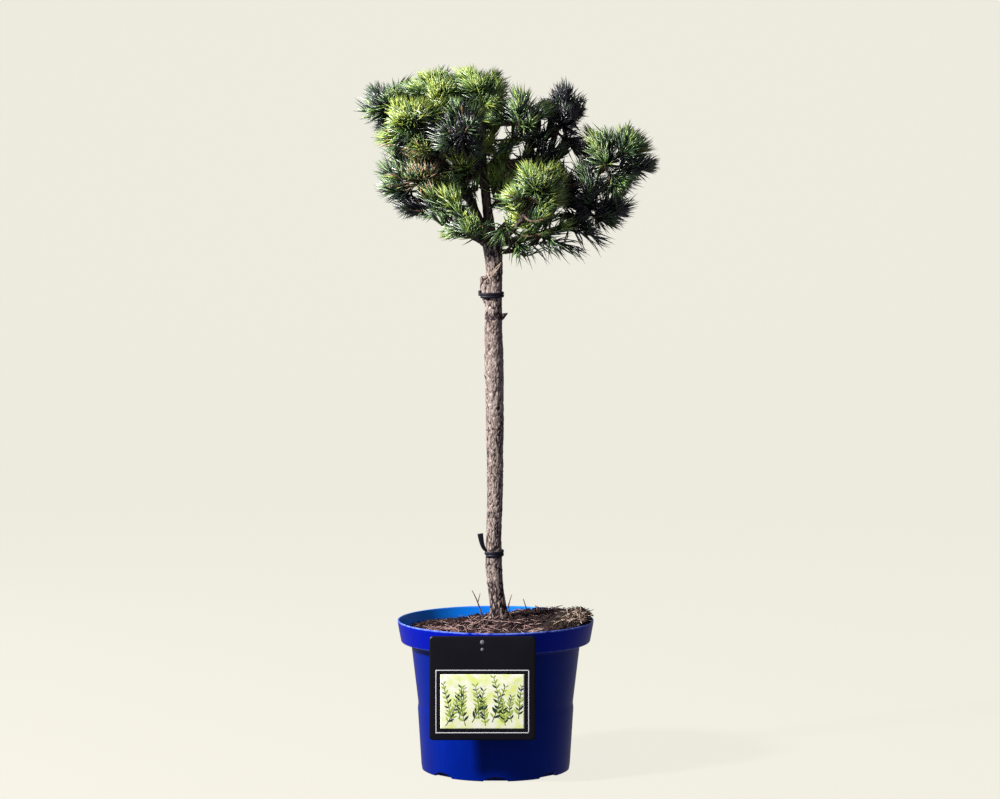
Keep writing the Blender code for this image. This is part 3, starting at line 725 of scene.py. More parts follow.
def make_pot():
    """A lathe shape of the pot's wall section with rounded corners, notched round its foot for drainage."""
    section = (
        (0.0, POT_FLOOR),
        (BASE_RADIUS - POT_WALL, POT_FLOOR),
        (STEP_RADIUS - POT_WALL, STEP_Z),
        (BODY_TOP_RADIUS - POT_WALL, BODY_TOP_Z + POT_WALL),
        (COLLAR_FOOT_RADIUS - POT_WALL, COLLAR_FOOT_Z + POT_WALL),
        (RIM_RADIUS - POT_WALL, POT_HEIGHT),
        (RIM_RADIUS, POT_HEIGHT),
        (RIM_RADIUS - 0.0004, POT_HEIGHT - 0.0045),
        (COLLAR_FOOT_RADIUS, COLLAR_FOOT_Z),
        (BODY_TOP_RADIUS + 0.0004, BODY_TOP_Z),
        (STEP_RADIUS, STEP_Z),
        (STEP_RADIUS + STEP_OUT, STEP_Z - 0.0060),
        (BASE_RADIUS, 0.0),
        (0.0, 0.0),
    )
    points, faces = turned(softened(section, 0.0013, 5), 160)
    pot = put_mesh("pot_shell", points, faces, pot_blue(), "pot")
    cutters = bpy.data.collections.new("notch_cutters")
    radius = NOTCH_WIDTH / 2
    drum = {"cap_ends": True, "segments": 24, "radius1": radius, "radius2": radius, "depth": 0.014}
    for number in range(NOTCHES):
        angle = -math.pi / 2 + number * math.tau / NOTCHES
        shape = bmesh.new()
        bmesh.ops.create_cone(shape, **drum, matrix=Matrix.Rotation(math.pi / 2, 4, "Y"))
        bmesh.ops.scale(shape, vec=(1.0, 1.0, NOTCH_HEIGHT * 2 / NOTCH_WIDTH), verts=shape.verts)
        bmesh.ops.translate(shape, vec=(BASE_RADIUS + 0.0005, 0.0, 0.0), verts=shape.verts)
        bmesh.ops.rotate(shape, matrix=Matrix.Rotation(angle, 3, "Z"), verts=shape.verts)
        mesh = bpy.data.meshes.new("notch")
        shape.to_mesh(mesh)
        shape.free()
        cutters.objects.link(bpy.data.objects.new("notch", mesh))
    step = pot.modifiers.new("notches", "BOOLEAN")
    step.operand_type = "COLLECTION"
    step.collection = cutters
    step.solver = "EXACT"
    bpy.context.view_layer.update()
    cut = bpy.data.meshes.new_from_object(pot.evaluated_get(bpy.context.evaluated_depsgraph_get()))
    pot.modifiers.clear()
    pot.data = cut
    for cutter in list(cutters.objects):
        bpy.data.objects.remove(cutter)
    bpy.data.collections.remove(cutters)
    cut.set_sharp_from_angle(angle=math.radians(35))
    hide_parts("pot")


def soil_height(x, y):
    """The top of the soil: low at the left, a mound round the stem, and the heaps of SOIL_HEAPS."""
    mound = 0.0115 * np.exp(-(((x - STEM[0][1]) ** 2 + y**2) / 0.042**2))
    height = SOIL_EDGE_Z + mound + 0.008 * (x / 0.1)
    for rise, middle, spread in SOIL_HEAPS:
        height = height + rise * hill((x - middle[0]) / spread[0], (y - middle[1]) / spread[1])
    return height


def soil_room(height):
    """The pot's inner radius at a height in the collar, less a little room."""
    share = np.clip((height - COLLAR_FOOT_Z - POT_WALL) / (POT_HEIGHT - COLLAR_FOOT_Z - POT_WALL), 0.0, 0.95)
    return COLLAR_FOOT_RADIUS + (RIM_RADIUS - COLLAR_FOOT_RADIUS) * share - POT_WALL - GAP


def make_soil():
    """A disc of rings whose height is soil_height plus layered noise, closed by a skirt and a floor below."""
    rings, spokes = 90, 220
    share = np.linspace(0.0, 1.0, rings)[1:]
    angle = circle(spokes)
    edge = RIM_RADIUS - POT_WALL - GAP - 0.002
    x = share[:, None] * edge * np.cos(angle)
    y = share[:, None] * edge * np.sin(angle)
    flat = np.stack([x, y, np.zeros_like(x)], axis=-1)
    clods, grit = layered_noise(flat * 130.0, 4, 5), layered_noise(flat * 420.0, 2, 9)
    rough = clods * 0.0030 + grit * 0.0011
    off_stem = ramped(np.hypot(x - STEM[0][1], y), 0.012, 0.01)
    height = soil_height(x, y) + rough * (0.25 + 0.75 * off_stem)
    fit = np.minimum(1.0, soil_room(height) / np.hypot(x, y))
    top = np.stack([x * fit, y * fit, height], axis=-1)
    middle = np.array([[0.0, 0.0, SEAT_Z - 0.002]])
    skirt = np.array(((0.1000, 0.1452), (BODY_TOP_RADIUS - 0.003, 0.1425), (BASE_RADIUS - 0.003, 0.0032)))
    grid = np.concatenate([top, round_points(skirt[:, :1], skirt[:, 1:], angle)])
    rows = len(grid)
    column = np.arange(spokes)
    floor = ((rows - 1) * spokes + column)[::-1][None]
    points = np.concatenate([grid.reshape(-1, 3), middle])
    faces = [grid_faces(rows, spokes)[:, ::-1], fan(rows * spokes, column), floor]
    soil = put_mesh("soil_bed", points, faces, soil_finish(), "soil")
    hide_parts("soil")


def strewn(dice, count, reach_in, reach_out, toward=None):
    """Random places on the soil between two radii; with toward, gathered round that (x, y, spread)."""
    if toward:
        places = dice.normal(toward[:2], toward[2], (count * 3, 2))
        return places[np.hypot(places[:, 0], places[:, 1]) < reach_out][:count]
    radius = np.sqrt(dice.uniform(reach_in**2, reach_out**2, count))
    angle = dice.uniform(0.0, math.tau, count)
    return np.stack([radius * np.cos(angle), radius * np.sin(angle)], axis=-1)


def strands(dice, places, length, thickness, rise, lift, reach_out):
    """Curved strands lying on the soil: five points each, along a random heading, bowed aside and upwards."""
    count = len(places)
    turn = dice.uniform(0.0, math.tau, count)
    span = dice.uniform(*length, count)[:, None]
    heading = np.stack([np.cos(turn), np.sin(turn)], axis=-1)
    aside = np.stack([-np.sin(turn), np.cos(turn)], axis=-1)
    share = np.linspace(-0.5, 0.5, 5)
    bow = dice.normal(0.0, 0.11, count)[:, None]
    flat = (
        places[:, None]
        + heading[:, None] * (share * span)[..., None]
        + aside[:, None] * (bow * span * (0.25 - share**2) * 2.0)[..., None]
    )
    reach = np.hypot(flat[..., 0], flat[..., 1])
    flat *= np.minimum(1.0, reach_out / np.maximum(reach, 1e-6))[..., None]
    tilt = dice.uniform(*rise, count)[:, None]
    height = soil_height(flat[..., 0], flat[..., 1]) + lift + (share + 0.5) * (tilt * span)
    height += dice.uniform(0.0, 0.0012, count)[:, None]
    paths = np.concatenate([flat, height[..., None]], axis=-1)
    radii = dice.uniform(*thickness, count)[:, None] * (0.6, 1.0, 1.0, 0.8, 0.45)
    return tubes(paths, radii, 4)


def crumbs(dice, places, size):
    """Lumps of soil: a ball of rings pushed in and out by noise, one for each place."""
    count, rows, columns = len(places), 5, 7
    polar = np.linspace(0.15, math.pi - 0.15, rows)[:, None]
    ball = round_points(np.sin(polar), np.cos(polar), circle(columns))
    radius = dice.uniform(*size, count)
    squash = dice.uniform(0.55, 1.0, (count, 1, 1, 3))
    height = soil_height(places[:, 0], places[:, 1]) + radius * 0.4
    centre = np.concatenate([places, height[:, None]], axis=-1)
    dents = dice.normal(0.0, 1.0, (count, rows, columns, 1)).clip(-1.5, 1.5)
    lump = ball[None] * squash * (1.0 + 0.28 * dents)
    points = centre[:, None, None] + lump * radius[:, None, None, None]
    return points.reshape(-1, 3), [faces[:, ::-1] for faces in closed_rows(rows, columns, count)]


def make_litter():
    """What lies on the soil: crumbs, the strands of STRANDS and dead twigs."""
    dice = np.random.default_rng(11)
    points, faces = crumbs(dice, strewn(dice, 1300, 0.014, 0.103), (0.0010, 0.0042))
    put_mesh("soil_crumbs", points, faces, soil_finish(), "soil", smooth=False)
    for name, light, dark, roughness, beds in STRANDS:
        shapes = [strands(dice, strewn(dice, *where), *kind) for where, *kind in beds]
        put_mesh(name, *stacked(shapes), two_shades(name, light, dark, roughness), "soil")
    make_dead_twigs()


def make_dead_twigs():
    """Thin dead twigs that stand in the soil, each a bent tapering tube."""
    twigs = (
        ((-0.0120, -0.020, 0.160), (-0.0165, -0.020, 0.186), (-0.0263, -0.020, 0.2030), 0.00115),
        ((0.0205, -0.004, 0.162), (0.0150, -0.004, 0.176), (0.0140, -0.004, 0.186), 0.0010),
        ((0.0142, -0.004, 0.1815), (0.0150, -0.004, 0.188), (0.0183, -0.004, 0.1965), 0.0008),
        ((0.0380, 0.030, 0.162), (0.0350, 0.030, 0.176), (0.0311, 0.030, 0.1870), 0.0009),
        ((-0.0195, -0.020, 0.1905), (-0.0180, -0.021, 0.197), (-0.0172, -0.021, 0.2000), 0.0006),
    )
    paths = np.stack([bezier(foot, bend, tip, 9) for foot, bend, tip, _ in twigs])
    radii = np.array([row[3] for row in twigs])[:, None] * np.linspace(1.0, 0.4, 9)
    finish = two_shades("dead_twig", (0.20, 0.12, 0.10), (0.07, 0.04, 0.035))
    put_mesh("dead_twigs", *tubes(paths, radii, 8), finish, "soil")


def rounded_plate(width, height, corner, thickness, centre):
    """A plate in the XZ plane: loops of a rounded outline, each drawn in by a share, from front to back."""
    turn = np.linspace(0.0, math.pi / 2, 7)
    quarter = np.arange(4)[:, None] * math.pi / 2
    sides = np.array([[1, 1], [-1, 1], [-1, -1], [1, -1]]) * (width / 2 - corner, height / 2 - corner)
    arc = np.stack([np.cos(turn + quarter), np.sin(turn + quarter)], axis=-1) * corner
    outline = (arc + sides[:, None]).reshape(-1, 2)
    shares = np.array([0.4, 0.97, 1.0, 1.0, 0.97, 0.4])
    depths = np.array([-0.5, -0.5, -0.2, 0.2, 0.5, 0.5]) * thickness
    loops = outline[None] * shares[:, None, None]
    rings = np.stack([loops[..., 0], depths[:, None] + 0 * loops[..., 0], loops[..., 1]], axis=-1)
    middle = np.array([[0.0, -thickness / 2, 0.0], [0.0, thickness / 2, 0.0]])
    points = np.concatenate([rings.reshape(-1, 3), middle]) + np.array(centre)
    return points, poled_rows(len(shares), len(outline))


def make_card():
    """The label card with a thin printed frame, a printed panel of leaf sprigs, and its two studs."""
    middle = np.array(CARD_MIDDLE)
    front = middle[1] - CARD_THICKNESS / 2
    card = put_mesh(
        "label_board",
        *rounded_plate(CARD_WIDTH, CARD_HEIGHT, CARD_CORNER, CARD_THICKNESS, middle),
        satin_black("card_black", 0.32),
        "card",
    )
    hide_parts("label_card")
    across, up = middle[0] + FRAME_MIDDLE[0], middle[2] + FRAME_MIDDLE[1]
    wide, high = 2 * FRAME_HALF_WIDE + FRAME_LINE, 2 * FRAME_HALF_HIGH - FRAME_LINE
    bars = [
        rounded_plate(wide, FRAME_LINE, 0.0002, INK, (across, front, up + side * FRAME_HALF_HIGH))
        for side in (-1, 1)
    ] + [
        rounded_plate(FRAME_LINE, high, 0.0002, INK, (across + side * FRAME_HALF_WIDE, front, up))
        for side in (-1, 1)
    ]
    put_mesh("card_frame", *stacked(bars), plain_print("print_white", (0.80, 0.81, 0.85), 0.8), "card")
    panel = rounded_plate(PANEL_WIDTH, PANEL_HEIGHT, 0.0003, INK, (across, front, up))
    put_mesh("card_panel", *panel, printed_panel(), "card")
    make_sprigs(np.array([across, front - SPRIGS_OUT, up]))
    studs = []
    for height, radius in ((STUD_Z, 0.0026), (STUD_Z - 0.0078, 0.0019)):
        dome = np.array([[0.0, 0.0009], [0.45, 0.0008], [0.8, 0.0005], [1.0, 0.0], [0.0, -0.0002]])
        points, faces = turned(dome * (radius, 1.0), 24)
        points = np.stack([points[:, 0] + middle[0], front - points[:, 2], points[:, 1] + height], axis=-1)
        studs.append((points, faces))
    put_mesh("card_studs", *stacked(studs), plain_print("stud_grey", (0.16, 0.17, 0.19), 0.3), "card")


def make_sprigs(middle):
    """Printed sprigs of plain oval leaves: stalks fan out over the panel, with leaves in pairs along each.

    A leaf is the grid (s L, w sin(pi s) t) for s from 0 to 1 and t from -1 to 1, turned to its heading.
    """
    dice = np.random.default_rng(4)
    count, steps = 12, 9
    stalks = []
    leaves = {"dark": [], "mid": []}
    for number in range(count):
        across = -0.040 + 0.0072 * number
        foot = np.array([across, -0.0265 + 0.004 * (number % 3)])
        lean = math.radians(dice.uniform(-24, 24))
        reach = dice.uniform(0.026, 0.046)
        tip = foot + reach * np.array([math.sin(lean), math.cos(lean)])
        tip = np.clip(tip, (-0.0425, -0.028), (0.0425, 0.0275))
        bend = (foot + tip) / 2 + np.array([dice.uniform(-0.005, 0.005), 0.0])
        path = bezier(foot, bend, tip, steps)
        stalks.append(np.stack([path[:, 0], np.zeros(steps), path[:, 1]], axis=-1) + middle)
        for pair in range(1, steps):
            heading = unit(path[min(pair + 1, steps - 1)] - path[pair - 1])
            for side in (-1, 1):
                turn = side * math.radians(dice.uniform(32, 55))
                spin = np.array([[math.cos(turn), -math.sin(turn)], [math.sin(turn), math.cos(turn)]])
                length = dice.uniform(0.0050, 0.0082) * (1.1 - 0.05 * pair)
                kind = "dark" if dice.uniform() < 0.42 else "mid"
                leaves[kind].append((path[pair], spin @ heading, length))
    shape = tubes(np.stack(stalks), np.full((count, steps), 0.00028), 5)
    put_mesh("sprig_stalks", *shape, plain_print("print_stalk", (0.10, 0.15, 0.05)), "card")
    rows, columns = 7, 3
    share = np.linspace(0.0, 1.0, rows)[:, None]
    wide = np.linspace(-1.0, 1.0, columns)
    for kind, colour in (("dark", (0.015, 0.045, 0.018)), ("mid", (0.42, 0.56, 0.10))):
        foot, heading, length = (np.array(values) for values in zip(*leaves[kind]))
        length = length[:, None, None]
        aside = np.stack([-heading[:, 1], heading[:, 0]], axis=-1)[:, None, None]
        along = share * length * np.ones(columns)
        out = 0.17 * length * (np.sin(math.pi * np.clip(share, 0.04, 0.96)) ** 0.8) * wide
        flat = foot[:, None, None] + heading[:, None, None] * along[..., None] + aside * out[..., None]
        flat = np.clip(flat, (-0.0448, -0.0290), (0.0448, 0.0290))
        rise = 0.00012 * (1.0 - wide**2) + 0 * out
        sheet = np.stack([flat[..., 0], -rise, flat[..., 1]], axis=-1)
        back = sheet * (1.0, 0.0, 1.0) + (0.0, 0.00005, 0.0)
        ringed = np.concatenate([sheet, back[:, :, ::-1]], axis=2)
        points = ringed.reshape(-1, 3) + middle
        faces = closed_rows(rows, 2 * columns, len(foot))
        finish = plain_print(f"print_{kind}", colour)
        recalculated(put_mesh(f"sprig_leaves_{kind}", points, faces, finish, "card", smooth=False))


def recalculated(piece):
    """Turns every face of a closed piece outwards."""
    shape = bmesh.new()
    shape.from_mesh(piece.data)
    bmesh.ops.recalc_face_normals(shape, faces=shape.faces)
    shape.to_mesh(piece.data)
    shape.free()


def strap(path, wide, thick):
    """A flat strap along a path: at each point the ellipse wide * up * cos a + thick * out * sin a."""
    sides = 14
    along = unit(np.gradient(path, axis=0))
    up = unit((0.0, 0.0, 1.0) - along * along[:, 2:3])
    out = np.cross(up, along)
    angle = circle(sides)[None, :, None]
    ring = np.cos(angle) * (wide[:, None] * up)[:, None] + np.sin(angle) * (thick[:, None] * out)[:, None]
    return (path[:, None] + ring).reshape(-1, 3), closed_rows(len(path), sides)


def make_ties():
    """Two black straps, each two turns round the stem, and the loose end of the lower one.

    A turn is the ellipse (r cos a, q sin a) about the stem, which climbs evenly and wobbles a little.
    """
    finish = satin_black("tie_black", 0.42, 3.0)
    steps, tail_steps = 150, 25
    share = np.linspace(0.0, 1.0, steps)
    angle = math.radians(215) + share * 2 * math.tau

    def turns(middle, across, deep, height, climb, wobble):
        x = middle + (across + wobble) * np.cos(angle)
        y = (deep + wobble) * np.sin(angle)
        return np.stack([x, y, height + (share - 0.5) * climb + wobble], axis=-1)

    path = turns(-0.0019, 0.0101, 0.0101, LOWER_TIE_Z, 0.0068, 0.00035 * np.sin(angle * 3.0 + 1.0))
    tail = bezier(path[-1], (-0.0150, -0.0082, 0.2475), (-0.0172, -0.0085, 0.2655), tail_steps + 1)[1:]
    wide = np.concatenate([np.full(steps, 0.0017), np.linspace(0.0017, 0.0033, tail_steps)])
    thick = np.concatenate([np.full(steps, 0.0008), np.full(tail_steps, 0.0007)])
    lower = put_mesh("strap_lower", *strap(np.concatenate([path, tail]), wide, thick), finish, "tie")
    recalculated(lower)
    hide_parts("tie_lower")
    path = turns(-0.0050, 0.0136, 0.0119, UPPER_TIE_Z, 0.0060, 0.0003 * np.sin(angle * 2.0))
    shape = strap(path, np.full(steps, 0.0014), np.full(steps, 0.0009))
    upper = put_mesh("strap_upper", *shape, finish, "tie")
    recalculated(upper)
    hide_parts("tie_upper")


# Stem and boughs


def bark_relief(places, size, seed):
    """Plates and fissures of bark from 0 to 1: one less the thin zero lines of two stretched noises."""
    long_places = places * (1.0, 1.0, 0.42) / size
    wavy = long_places + 0.35 * lattice_noise(long_places * 1.7, seed + 3)[..., None]
    plates = np.abs(layered_noise(wavy, 2, seed))
    cracks = np.abs(layered_noise(wavy * (1.6, 1.6, 3.6), 2, seed + 7))
    fine = layered_noise(places * (1.0, 1.0, 0.5) / (0.22 * size), 2, seed + 11)
    relief = 1.25 * plates**0.6 * np.clip(0.55 + cracks, 0.0, 1.0) ** 0.5 + 0.12 * fine
    return np.clip(relief, 0.0, 1.0)


def barked(centres, rings, size, depth, seed):
    """Rings of a limb pushed out from their centres by its bark's relief, which is returned too."""
    relief = bark_relief(rings, size, seed)
    out = unit(rings - centres)
    return rings + out * ((relief - 0.55) * depth)[..., None], relief


def barked_tubes(name, paths, radii, sides, finish, grain, worn=0.0):
    """Tubes along the paths with bark's relief of that size, depth and seed, as one piece."""
    points, faces = tubes(paths, radii, sides)
    rings = points.reshape(*paths.shape[:2], sides, 3)
    rings, relief = barked(paths[:, :, None], rings, *grain)
    return put_mesh(name, rings, faces, finish, "bark", marks={"relief": relief - worn})


def make_stem():
    """Rings of the stem's width round its middle line, with a flared foot, a knobbly fork and bark."""
    rows, columns = ((560, 104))
    foot_z, head_z = STEM[0][0], 0.596
    heights = np.linspace(foot_z, STEM[-1][0] + 0.002, rows)
    stations = np.array(STEM)
    across = smooth_through(stations[:, 0], stations[:, 1], heights)
    radius = smooth_through(stations[:, 0], stations[:, 2], heights) / 2
    top = ramped(heights, head_z, heights[-1] - head_z)
    radius = radius * np.sqrt(np.clip(1.0 - top**2.4, 0.02, 1.0))
    angle = circle(columns)
    low = np.exp(-(heights - foot_z) / 0.009)[:, None]
    high = ramped(heights, 0.555, 0.04)[:, None]
    z = heights[:, None]
    shape = (
        1.0
        + low * 0.09 * np.cos(3 * angle + 0.8)
        + high * 0.05 * np.cos(4 * angle + 60.0 * z)
        + 0.018 * np.sin(angle + 45.0 * z)
        + 0.012 * np.cos(2 * angle - 80.0 * z)
    )
    centres = np.stack([across, 0 * across, heights], axis=-1)[:, None]
    rings = centres + (radius[:, None] * shape)[..., None] * round_points(1.0, 0.0, angle)
    rings, relief = barked(centres, rings, 0.0030, 0.0009, 2)
    # Darker bark at the fork, as painted shade under the crown, at the foot and under the graft, and paler
    # bark below that.
    shade = (
        ramped(heights, 0.562, 0.035) * 0.46
        + 0.34 * np.exp(-(heights - foot_z) / 0.032)
        + 0.22 * hill((heights - 0.513) / 0.011)
        - 0.16 * hill((heights - 0.452) / 0.045)
    )
    finish = bark("stem_bark", (0.395, 0.325, 0.293), (0.205, 0.152, 0.137), (0.026, 0.015, 0.018))
    # The painted shade goes into the relief mark, so the bark at the fork takes more of the dark fissure
    # colour.
    marks = {"relief": relief - shade[:, None]}
    stem = put_mesh("stem_bark", rings, closed_rows(rows, columns), finish, "bark", marks=marks)
    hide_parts("stem")
    # Each stub: foot, bend, tip, and its radius at the foot, past the middle and at the tip.
    stubs = (
        ((-0.0045, -0.001, 0.515), (-0.0088, -0.001, 0.531), (-0.011, -0.001, 0.553), 0.0050, 0.0088, 0.0068),
        ((0.0, -0.001, 0.505), (0.008, -0.002, 0.5075), (0.0134, -0.0025, 0.5118), 0.0062, 0.0034, 0.0006),
        ((-0.005, -0.002, 0.435), (-0.0095, -0.003, 0.438), (-0.0126, -0.003, 0.443), 0.0035, 0.0024, 0.0007),
        ((-0.005, -0.004, 0.206), (-0.008, -0.005, 0.2075), (-0.0098, -0.006, 0.211), 0.0030, 0.0020, 0.0006),
        ((0.002, -0.006, 0.383), (0.003, -0.0085, 0.386), (0.004, -0.0104, 0.389), 0.0030, 0.0024, 0.0012),
        ((0.001, 0.005, 0.300), (0.001, 0.008, 0.303), (0.0, 0.0105, 0.306), 0.0030, 0.0022, 0.0012),
    )
    share = np.linspace(0.0, 1.0, 28)
    paths = np.stack([bezier(*row[:3], len(share)) for row in stubs])
    radii = np.stack([np.interp(share, (0.0, 0.55, 1.0), row[3:]) for row in stubs])
    radii[:, -1] *= 0.72
    knobs = barked_tubes("stem_knobs", paths, radii, 30, finish, (0.0042, 0.0009, 21), 0.08)
    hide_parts("stem")


class Limb:
    """A tapered line of points that twigs and needles keep clear of."""

    def __init__(self, points, radii):
        self.points = np.array(points, dtype=float)
        self.radii = np.array(radii, dtype=float)

    def at(self, fraction):
        """The place a fraction of the way along it."""
        run = run_of(self.points)
        return read_at(fraction * run[-1], run, self.points)


def mass_space(name):
    """A mass's middle and half sizes in metres, its main shoots and its tone."""
    middle, half, shoots, tone = MASSES[name]
    return np.array(middle) / 1000.0, np.array(half) / 1000.0, shoots, tone


def bough_bends(parent, fraction, name):
    """Foot, bend and tip of a bough: from inside its parent out, then up to the near side of its mass."""
    start = parent.at(fraction)
    middle, half, _, _ = mass_space(name)
    heading = unit(unit(middle - start) + 0.25 * UP)
    tip = middle - heading * 0.66 / np.linalg.norm(heading / half)
    return start, start + (tip - start) * (0.62, 0.62, 0.36), tip


def make_boughs():
    """Every bough as a tapering tube with bark's relief, all in one piece, and the limbs to keep clear of."""
    steps = 46
    middle = [(across, 0.0, height) for height, across, _ in STEM]
    limbs = {"stem": Limb(middle, [width / 2 for _, _, width in STEM])}
    curves, radii = [], []
    for name, (parent, fraction, foot_radius, tip_radius) in BOUGHS.items():
        ends = bough_bends(limbs[parent], fraction, name)
        limbs[name] = Limb(bezier(*ends, 5), np.linspace(foot_radius, tip_radius, 5))
        curve = bezier(*ends, steps)
        tip = ends[2]
        curves.append(np.concatenate([curve, [tip + unit(tip - curve[-2]) * 0.0012]]))
        radii.append(np.append(np.linspace(foot_radius, tip_radius, steps), tip_radius * 0.8))
    paths, radii = np.stack(curves), np.stack(radii)
    knots = 1.0 + 0.10 * lattice_noise(paths * 70.0, 31)
    # Painted shade: the bough bark is darker than the stem's, as it lies in the crown's shade.
    finish = bark("bough_bark", (0.115, 0.082, 0.078), (0.062, 0.043, 0.042), (0.02, 0.013, 0.014))
    boughs = barked_tubes("bough_bark", paths, radii * knots, 22, finish, (0.0040, 0.0007, 41))
    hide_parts(*(f"bough_{name}" for name in BOUGHS))
    return limbs


# The crown


def mass_depths(places):
    """For each place and mass, how deep it is: 0 at the mass's middle and 1 on its ellipsoid."""
    middles = np.array([row[0] for row in MASSES.values()]) / 1000.0
    halves = np.array([row[1] for row in MASSES.values()]) / 1000.0
    return np.linalg.norm((places[:, None] - middles) / halves, axis=-1)


def crown_depth(places):
    """Depth in all the masses as one, joined without a crease: (the sum of every depth^-8)^(-1/8)."""
    return (np.maximum(mass_depths(places), 0.05) ** -8.0).sum(axis=1) ** (-1.0 / 8.0)


def clear_of_limbs(places, limbs, margin):
    """Whether each place is further than the margin from the surface of every limb."""
    clear = np.ones(len(places), dtype=bool)
    for limb in limbs.values():
        start, reach = limb.points[:-1], np.diff(limb.points, axis=0)
        offset = places[:, None] - start
        share = np.clip((offset * reach).sum(-1) / (reach * reach).sum(-1), 0.0, 1.0)
        gap = np.linalg.norm(offset - share[..., None] * reach, axis=-1)
        clear &= (gap - limb.radii[:-1] * (1 - share) - limb.radii[1:] * share).min(axis=1) > margin
    return clear


def out_of_windows(paths, dice):
    """Whether each path, seen from the camera, stays out of the crown's sky windows, or is let into one."""
    eye = np.array(CAMERA_PLACE)
    share = eye[1] / (eye[1] - paths[..., 1])
    across = (eye[0] + (paths[..., 0] - eye[0]) * share) * 1000.0
    up = (eye[2] + (paths[..., 2] - eye[2]) * share) * 1000.0
    clear = np.ones(len(paths), dtype=bool)
    for middle, half, let_in in SKY_WINDOWS:
        inside = ((across - middle[0]) / half[0]) ** 2 + ((up - middle[1]) / half[1]) ** 2 < 1.0
        clear &= ~inside.any(axis=1) | (dice.uniform(0.0, 1.0, len(paths)) < let_in)
    return clear


def shoot_directions(count, seed):
    """Headings spread evenly over a ball, turned upwards as pine shoots are."""
    dice = random.Random(seed)
    turn = dice.uniform(0.0, math.tau)
    number = np.arange(count)
    height = 1.0 - (2.0 * number + 1.0) / count
    ring = np.sqrt(np.maximum(0.0, 1.0 - height * height))
    angle = turn + number * math.pi * GOLDEN_TURN
    return unit(np.stack([ring * np.cos(angle), ring * np.sin(angle), height + 0.22], axis=-1))


def square_to(along, turn):
    """The heading square to a shoot, turned round it."""
    square = unit(np.cross(along, [0.31, 0.17, 0.93]))
    return square * math.cos(turn) + np.cross(along, square) * math.sin(turn)


def shoot_paths(name, order, bough, limbs, dice):
    """The stem of a mass, its main shoots with two side shoots each, and short shoots along its bough.

    Each is a path of SHOOT_STEPS points. One that would leave the crown's space or touch a limb is skipped.
    """
    middle, half, shoots, _ = mass_space(name)
    tip = bough.points[-1]
    heading = unit(tip - bough.points[-2])
    foot = tip + heading * GAP
    bend = foot + heading * 0.3 * np.linalg.norm(middle - foot)
    end = middle + 0.10 * half[2] * UP
    stem = bezier(foot, bend, end, SHOOT_STEPS)
    paths = []
    for number, direction in enumerate(shoot_directions(shoots, 7 * order + 3)):
        root = bend + (end - bend) * (1.0 - 0.8 * number / (shoots - 1))
        target = middle + direction * half * 0.9
        main_end = root + (target - root) * dice.uniform(*MAIN_REACH)
        span = np.linalg.norm(main_end - root)
        main = bezier(root, (root + main_end) / 2 - 0.10 * UP * span, main_end, SHOOT_STEPS)
        paths.append(main)
        along = unit(main_end - root)
        for side in range(2):
            aside = square_to(along, SHOOT_TURN * (2 * number + side) + order)
            fork = main[2 + side]
            reach = span * dice.uniform(*SIDE_REACH)
            out = unit(along * 0.8 + aside * 0.55 + 0.25 * UP)
            side_bend = fork + unit(along * 0.3 + aside) * reach * 0.45
            paths.append(bezier(fork, side_bend, fork + out * reach, SHOOT_STEPS))
    along = unit(tip - bough.points[0])
    for number, fraction in enumerate(np.linspace(0.30, 0.97, SHORT_SHOOTS)):
        aside = square_to(along, SHOOT_TURN * number + order)
        root = bough.at(fraction)
        reach = dice.uniform(*SHORT_REACH)
        short_end = root + unit(along * 0.45 + aside * 0.9 + 0.3 * UP) * reach
        short_bend = root + unit(along * 0.2 + aside) * reach * 0.45
        paths.append(bezier(root, short_bend, short_end, SHOOT_STEPS))
    paths = np.stack(paths)
    spots = paths[:, 4:].reshape(-1, 3)
    others = {key: limb for key, limb in limbs.items() if key != name}
    kept = (crown_depth(spots) < 0.90) & clear_of_limbs(spots, others, SHOOT_RADIUS)
    return stem, paths[kept.reshape(len(paths), -1).all(axis=1) & out_of_windows(paths, dice)]


def needle_curves(path, dice, pitch, at_tip=12):
    """Needles of one shoot, in pairs at golden angles, leaning less towards the tip.

    It gives each needle's foot, its heading, the shoot's own line there and the share of the shoot below it.
    """
    run = run_of(path)
    span = run[-1]
    crowded = span - np.abs(dice.normal(0.0, 0.0012, at_tip))
    spots = np.concatenate([np.arange(BARE_SHARE * span, span, pitch), crowded])
    spots = np.clip(spots, 0.0, span)
    count = len(spots)
    share = spots / span
    feet = read_at(spots, run, path)
    axis_line = unit(read_at(spots, run, unit(np.gradient(path, axis=0))))
    square = unit(np.cross(axis_line, [0.37, 0.11, 0.92]))
    other = np.cross(axis_line, square)
    turn = (np.arange(count) * math.pi * GOLDEN_TURN + dice.uniform(0.0, math.tau))[:, None]
    lean = np.radians(LEAN - LEAN_LESS * share**1.2 + dice.normal(0.0, LEAN_SPREAD, count))
    lean[count - at_tip :] = np.radians(dice.uniform(*LEAN_AT_TIP, at_tip))
    out = square * np.cos(turn) + other * np.sin(turn)
    heading = axis_line * np.cos(lean)[:, None] + out * np.sin(lean)[:, None]
    spread = np.cross(axis_line, out) * 0.10
    heading = unit(np.concatenate([heading + spread, heading - spread]) + 0.05 * UP)
    return np.concatenate([feet, feet]), heading, np.tile(axis_line, (2, 1)), np.tile(share, 2)


def between_fans(places, name, order):
    """How near each place lies to the valley between two fans of its mass: 0 on a main shoot's line, 1 at
    FAN_WIDTH degrees from it."""
    middle, half, shoots, _ = mass_space(name)
    nearest = (unit((places - middle) / half) @ shoot_directions(shoots, 7 * order + 3).T).max(axis=1)
    return np.clip(np.degrees(np.arccos(np.clip(nearest, -1.0, 1.0))) / FAN_WIDTH, 0.0, 1.2) ** 2


